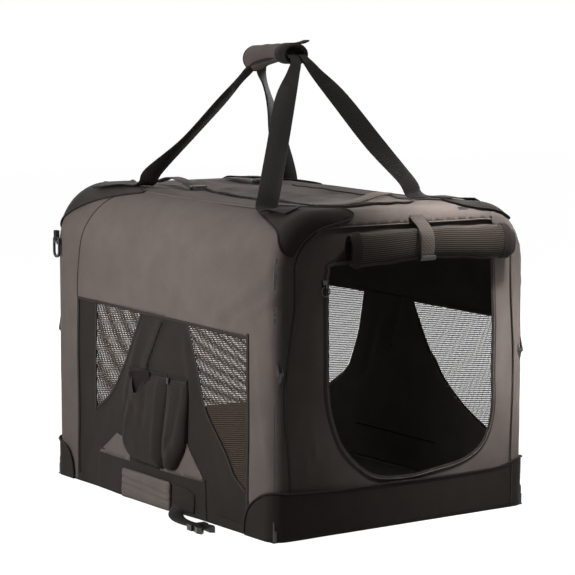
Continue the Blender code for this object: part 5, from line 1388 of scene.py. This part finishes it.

# %% [markdown]
# ## Floor pad
# A fleece pad lies on the stiff floor board. It is the one cushion in the crate, a block in the CAD pad's box with
# rounded corners and eased edges.

# %% Floor pad
bm = bmesh.new()
pad_low, pad_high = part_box("floor_pad")
middle = (pad_low + pad_high) / 2
size = pad_high - pad_low
bmesh.ops.create_cube(bm, size=1.0, matrix=Matrix.Translation(middle) @ Matrix.Diagonal((*(size * 0.985), 1)))
upright = [e for e in bm.edges if abs(e.verts[0].co.z - e.verts[1].co.z) > size.z / 2]
bmesh.ops.bevel(bm, geom=upright, offset=0.030, segments=6, profile=0.5, affect="EDGES", material=-1)
bmesh.ops.bevel(bm, geom=[e for e in bm.edges if e.calc_face_angle(0) > 0.6], offset=0.0045, segments=3,
                profile=0.5, affect="EDGES", material=-1)
pad = make_piece(bm, "fleece_floor_pad", [dark_fleece], "base", sharp=80)
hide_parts("floor_pad")

# %% [markdown]
# ## Finishes for the frame's own parts
# The tubes, rods, fittings, clips and buckles keep their CAD shapes, which are right already. They only need the
# finish of the real part.

# %% Finish the kept parts
KEPT = (
    (coated_steel, ("front_rail", "rear_rail", "left_rail", "right_rail", "front_left_leg", "front_right_leg",
                    "rear_left_leg", "rear_right_leg", "front_arch", "rear_arch", "left_roof_rod",
                    "right_roof_rod")),
    (black_acetal, ("front_left_corner_fitting", "front_right_corner_fitting", "rear_left_corner_fitting",
                    "rear_right_corner_fitting", "free_strap_buckle", "corner_clip", "door_tie_toggle")),
    (black_zinc, ("door_zip_slider", "zip_pull_ring")),
    (black_webbing, ("corner_clip_loop",)),
    (board_cloth, ("floor_board", "bottom_panel")),
)
for finish, names in KEPT:
    for name in names:
        node = frame["nodes"][name]
        node.data.materials.clear()
        node.data.materials.append(finish)
print("kept parts finished:", sum(len(names) for _, names in KEPT))

# %% [markdown]
# ## Floor, light and background
# The crate stands on a plain pale floor. What the camera sees of the floor and the world is lifted towards white
# with Is Camera Ray, so the background is white without more light on the crate, and the shadow stays.

# %% Floor and world
bm = bmesh.new()
bmesh.ops.create_grid(bm, x_segments=1, y_segments=1, size=9.0)
floor_mesh = bpy.data.meshes.new("studio_floor")
bm.to_mesh(floor_mesh)
bm.free()
studio_floor = bpy.data.objects.new("studio_floor", floor_mesh)
scene.collection.objects.link(studio_floor)
floor_finish = bpy.data.materials.new("pale_studio_floor")
floor_finish.use_nodes = True
tree = floor_finish.node_tree
tree.nodes.clear()
rays = add_node(tree, "LightPath")
paint = add_node(tree, "BsdfDiffuse", inputs={"Color": linear("#8c8c8a")})
glow = add_node(tree, "Emission", inputs={"Color": (1, 1, 1, 1), "Strength": 0.98})
seen = add_node(tree, "Math", {"operation": "MAXIMUM"}, {0: rays.outputs["Is Camera Ray"],
                                                         1: rays.outputs["Is Glossy Ray"]})
none = add_node(tree, "Emission", inputs={"Color": (0, 0, 0, 1), "Strength": 0.0})
lit = add_node(tree, "MixShader", inputs={0: seen.outputs[0], 1: none.outputs[0], 2: glow.outputs[0]})
both = add_node(tree, "AddShader", inputs={0: paint.outputs[0], 1: lit.outputs[0]})
add_node(tree, "OutputMaterial", inputs={"Surface": both.outputs[0]})
floor_mesh.materials.append(floor_finish)

world = bpy.data.worlds.new("studio_world")
scene.world = world
world.use_nodes = True
tree = world.node_tree
tree.nodes.clear()
rays = add_node(tree, "LightPath")
seen = add_node(tree, "Math", {"operation": "MAXIMUM"}, {0: rays.outputs["Is Camera Ray"],
                                                         1: rays.outputs["Is Glossy Ray"]})
through = add_node(tree, "Math", {"operation": "MAXIMUM"}, {0: seen.outputs[0],
                                                            1: rays.outputs["Is Transmission Ray"]})
sky = add_node(tree, "Background", inputs={"Color": (1, 1, 1, 1), "Strength": 0.05})
backdrop = add_node(tree, "Background", inputs={"Color": (1, 1, 1, 1), "Strength": 1.0})
mixed = add_node(tree, "MixShader", inputs={0: through.outputs[0], 1: sky.outputs[0], 2: backdrop.outputs[0]})
add_node(tree, "OutputWorld", inputs={"Surface": mixed.outputs[0]})

# %% Lamps
LAMPS = (
    ("left_key", (-1.02, -0.02, 0.56), (-0.26, 0.02, 0.26), 0.6, 6.4, 180),
    ("right_front_edge", (0.34, -0.66, 0.34), (0.285, -0.35, 0.25), 0.12, 0.26, 76),
    ("roof_front_edge", (0.14, -0.75, 1.25), (0.12, -0.36, 0.47), 0.20, 0.62, 30),
    ("top_soft", (0.10, 0.15, 2.40), (0.0, 0.05, 0.52), 1.0, 8.0, 180),
    ("right_soft", (2.6, 0.8, 0.9), (0.2, 0.0, 0.25), 1.2, 30, 180),
    ("rear_soft", (0.4, 3.0, 1.0), (0.0, 0.3, 0.25), 1.2, 30, 180),
)
for name, place, target, wide, power, spread in LAMPS:
    lamp_data = bpy.data.lights.new(name, "AREA")
    lamp_data.shape = "DISK"
    lamp_data.size = wide
    lamp_data.energy = power
    lamp_data.spread = math.radians(spread)
    lamp = bpy.data.objects.new(name, lamp_data)
    lamp.location = place
    lamp.visible_camera = False
    lamp.rotation_euler = (Vector(target) - Vector(place)).to_track_quat("-Z", "Y").to_euler()
    scene.collection.objects.link(lamp)
scene.view_settings.view_transform = "Standard"
print("lamps:", len(LAMPS))
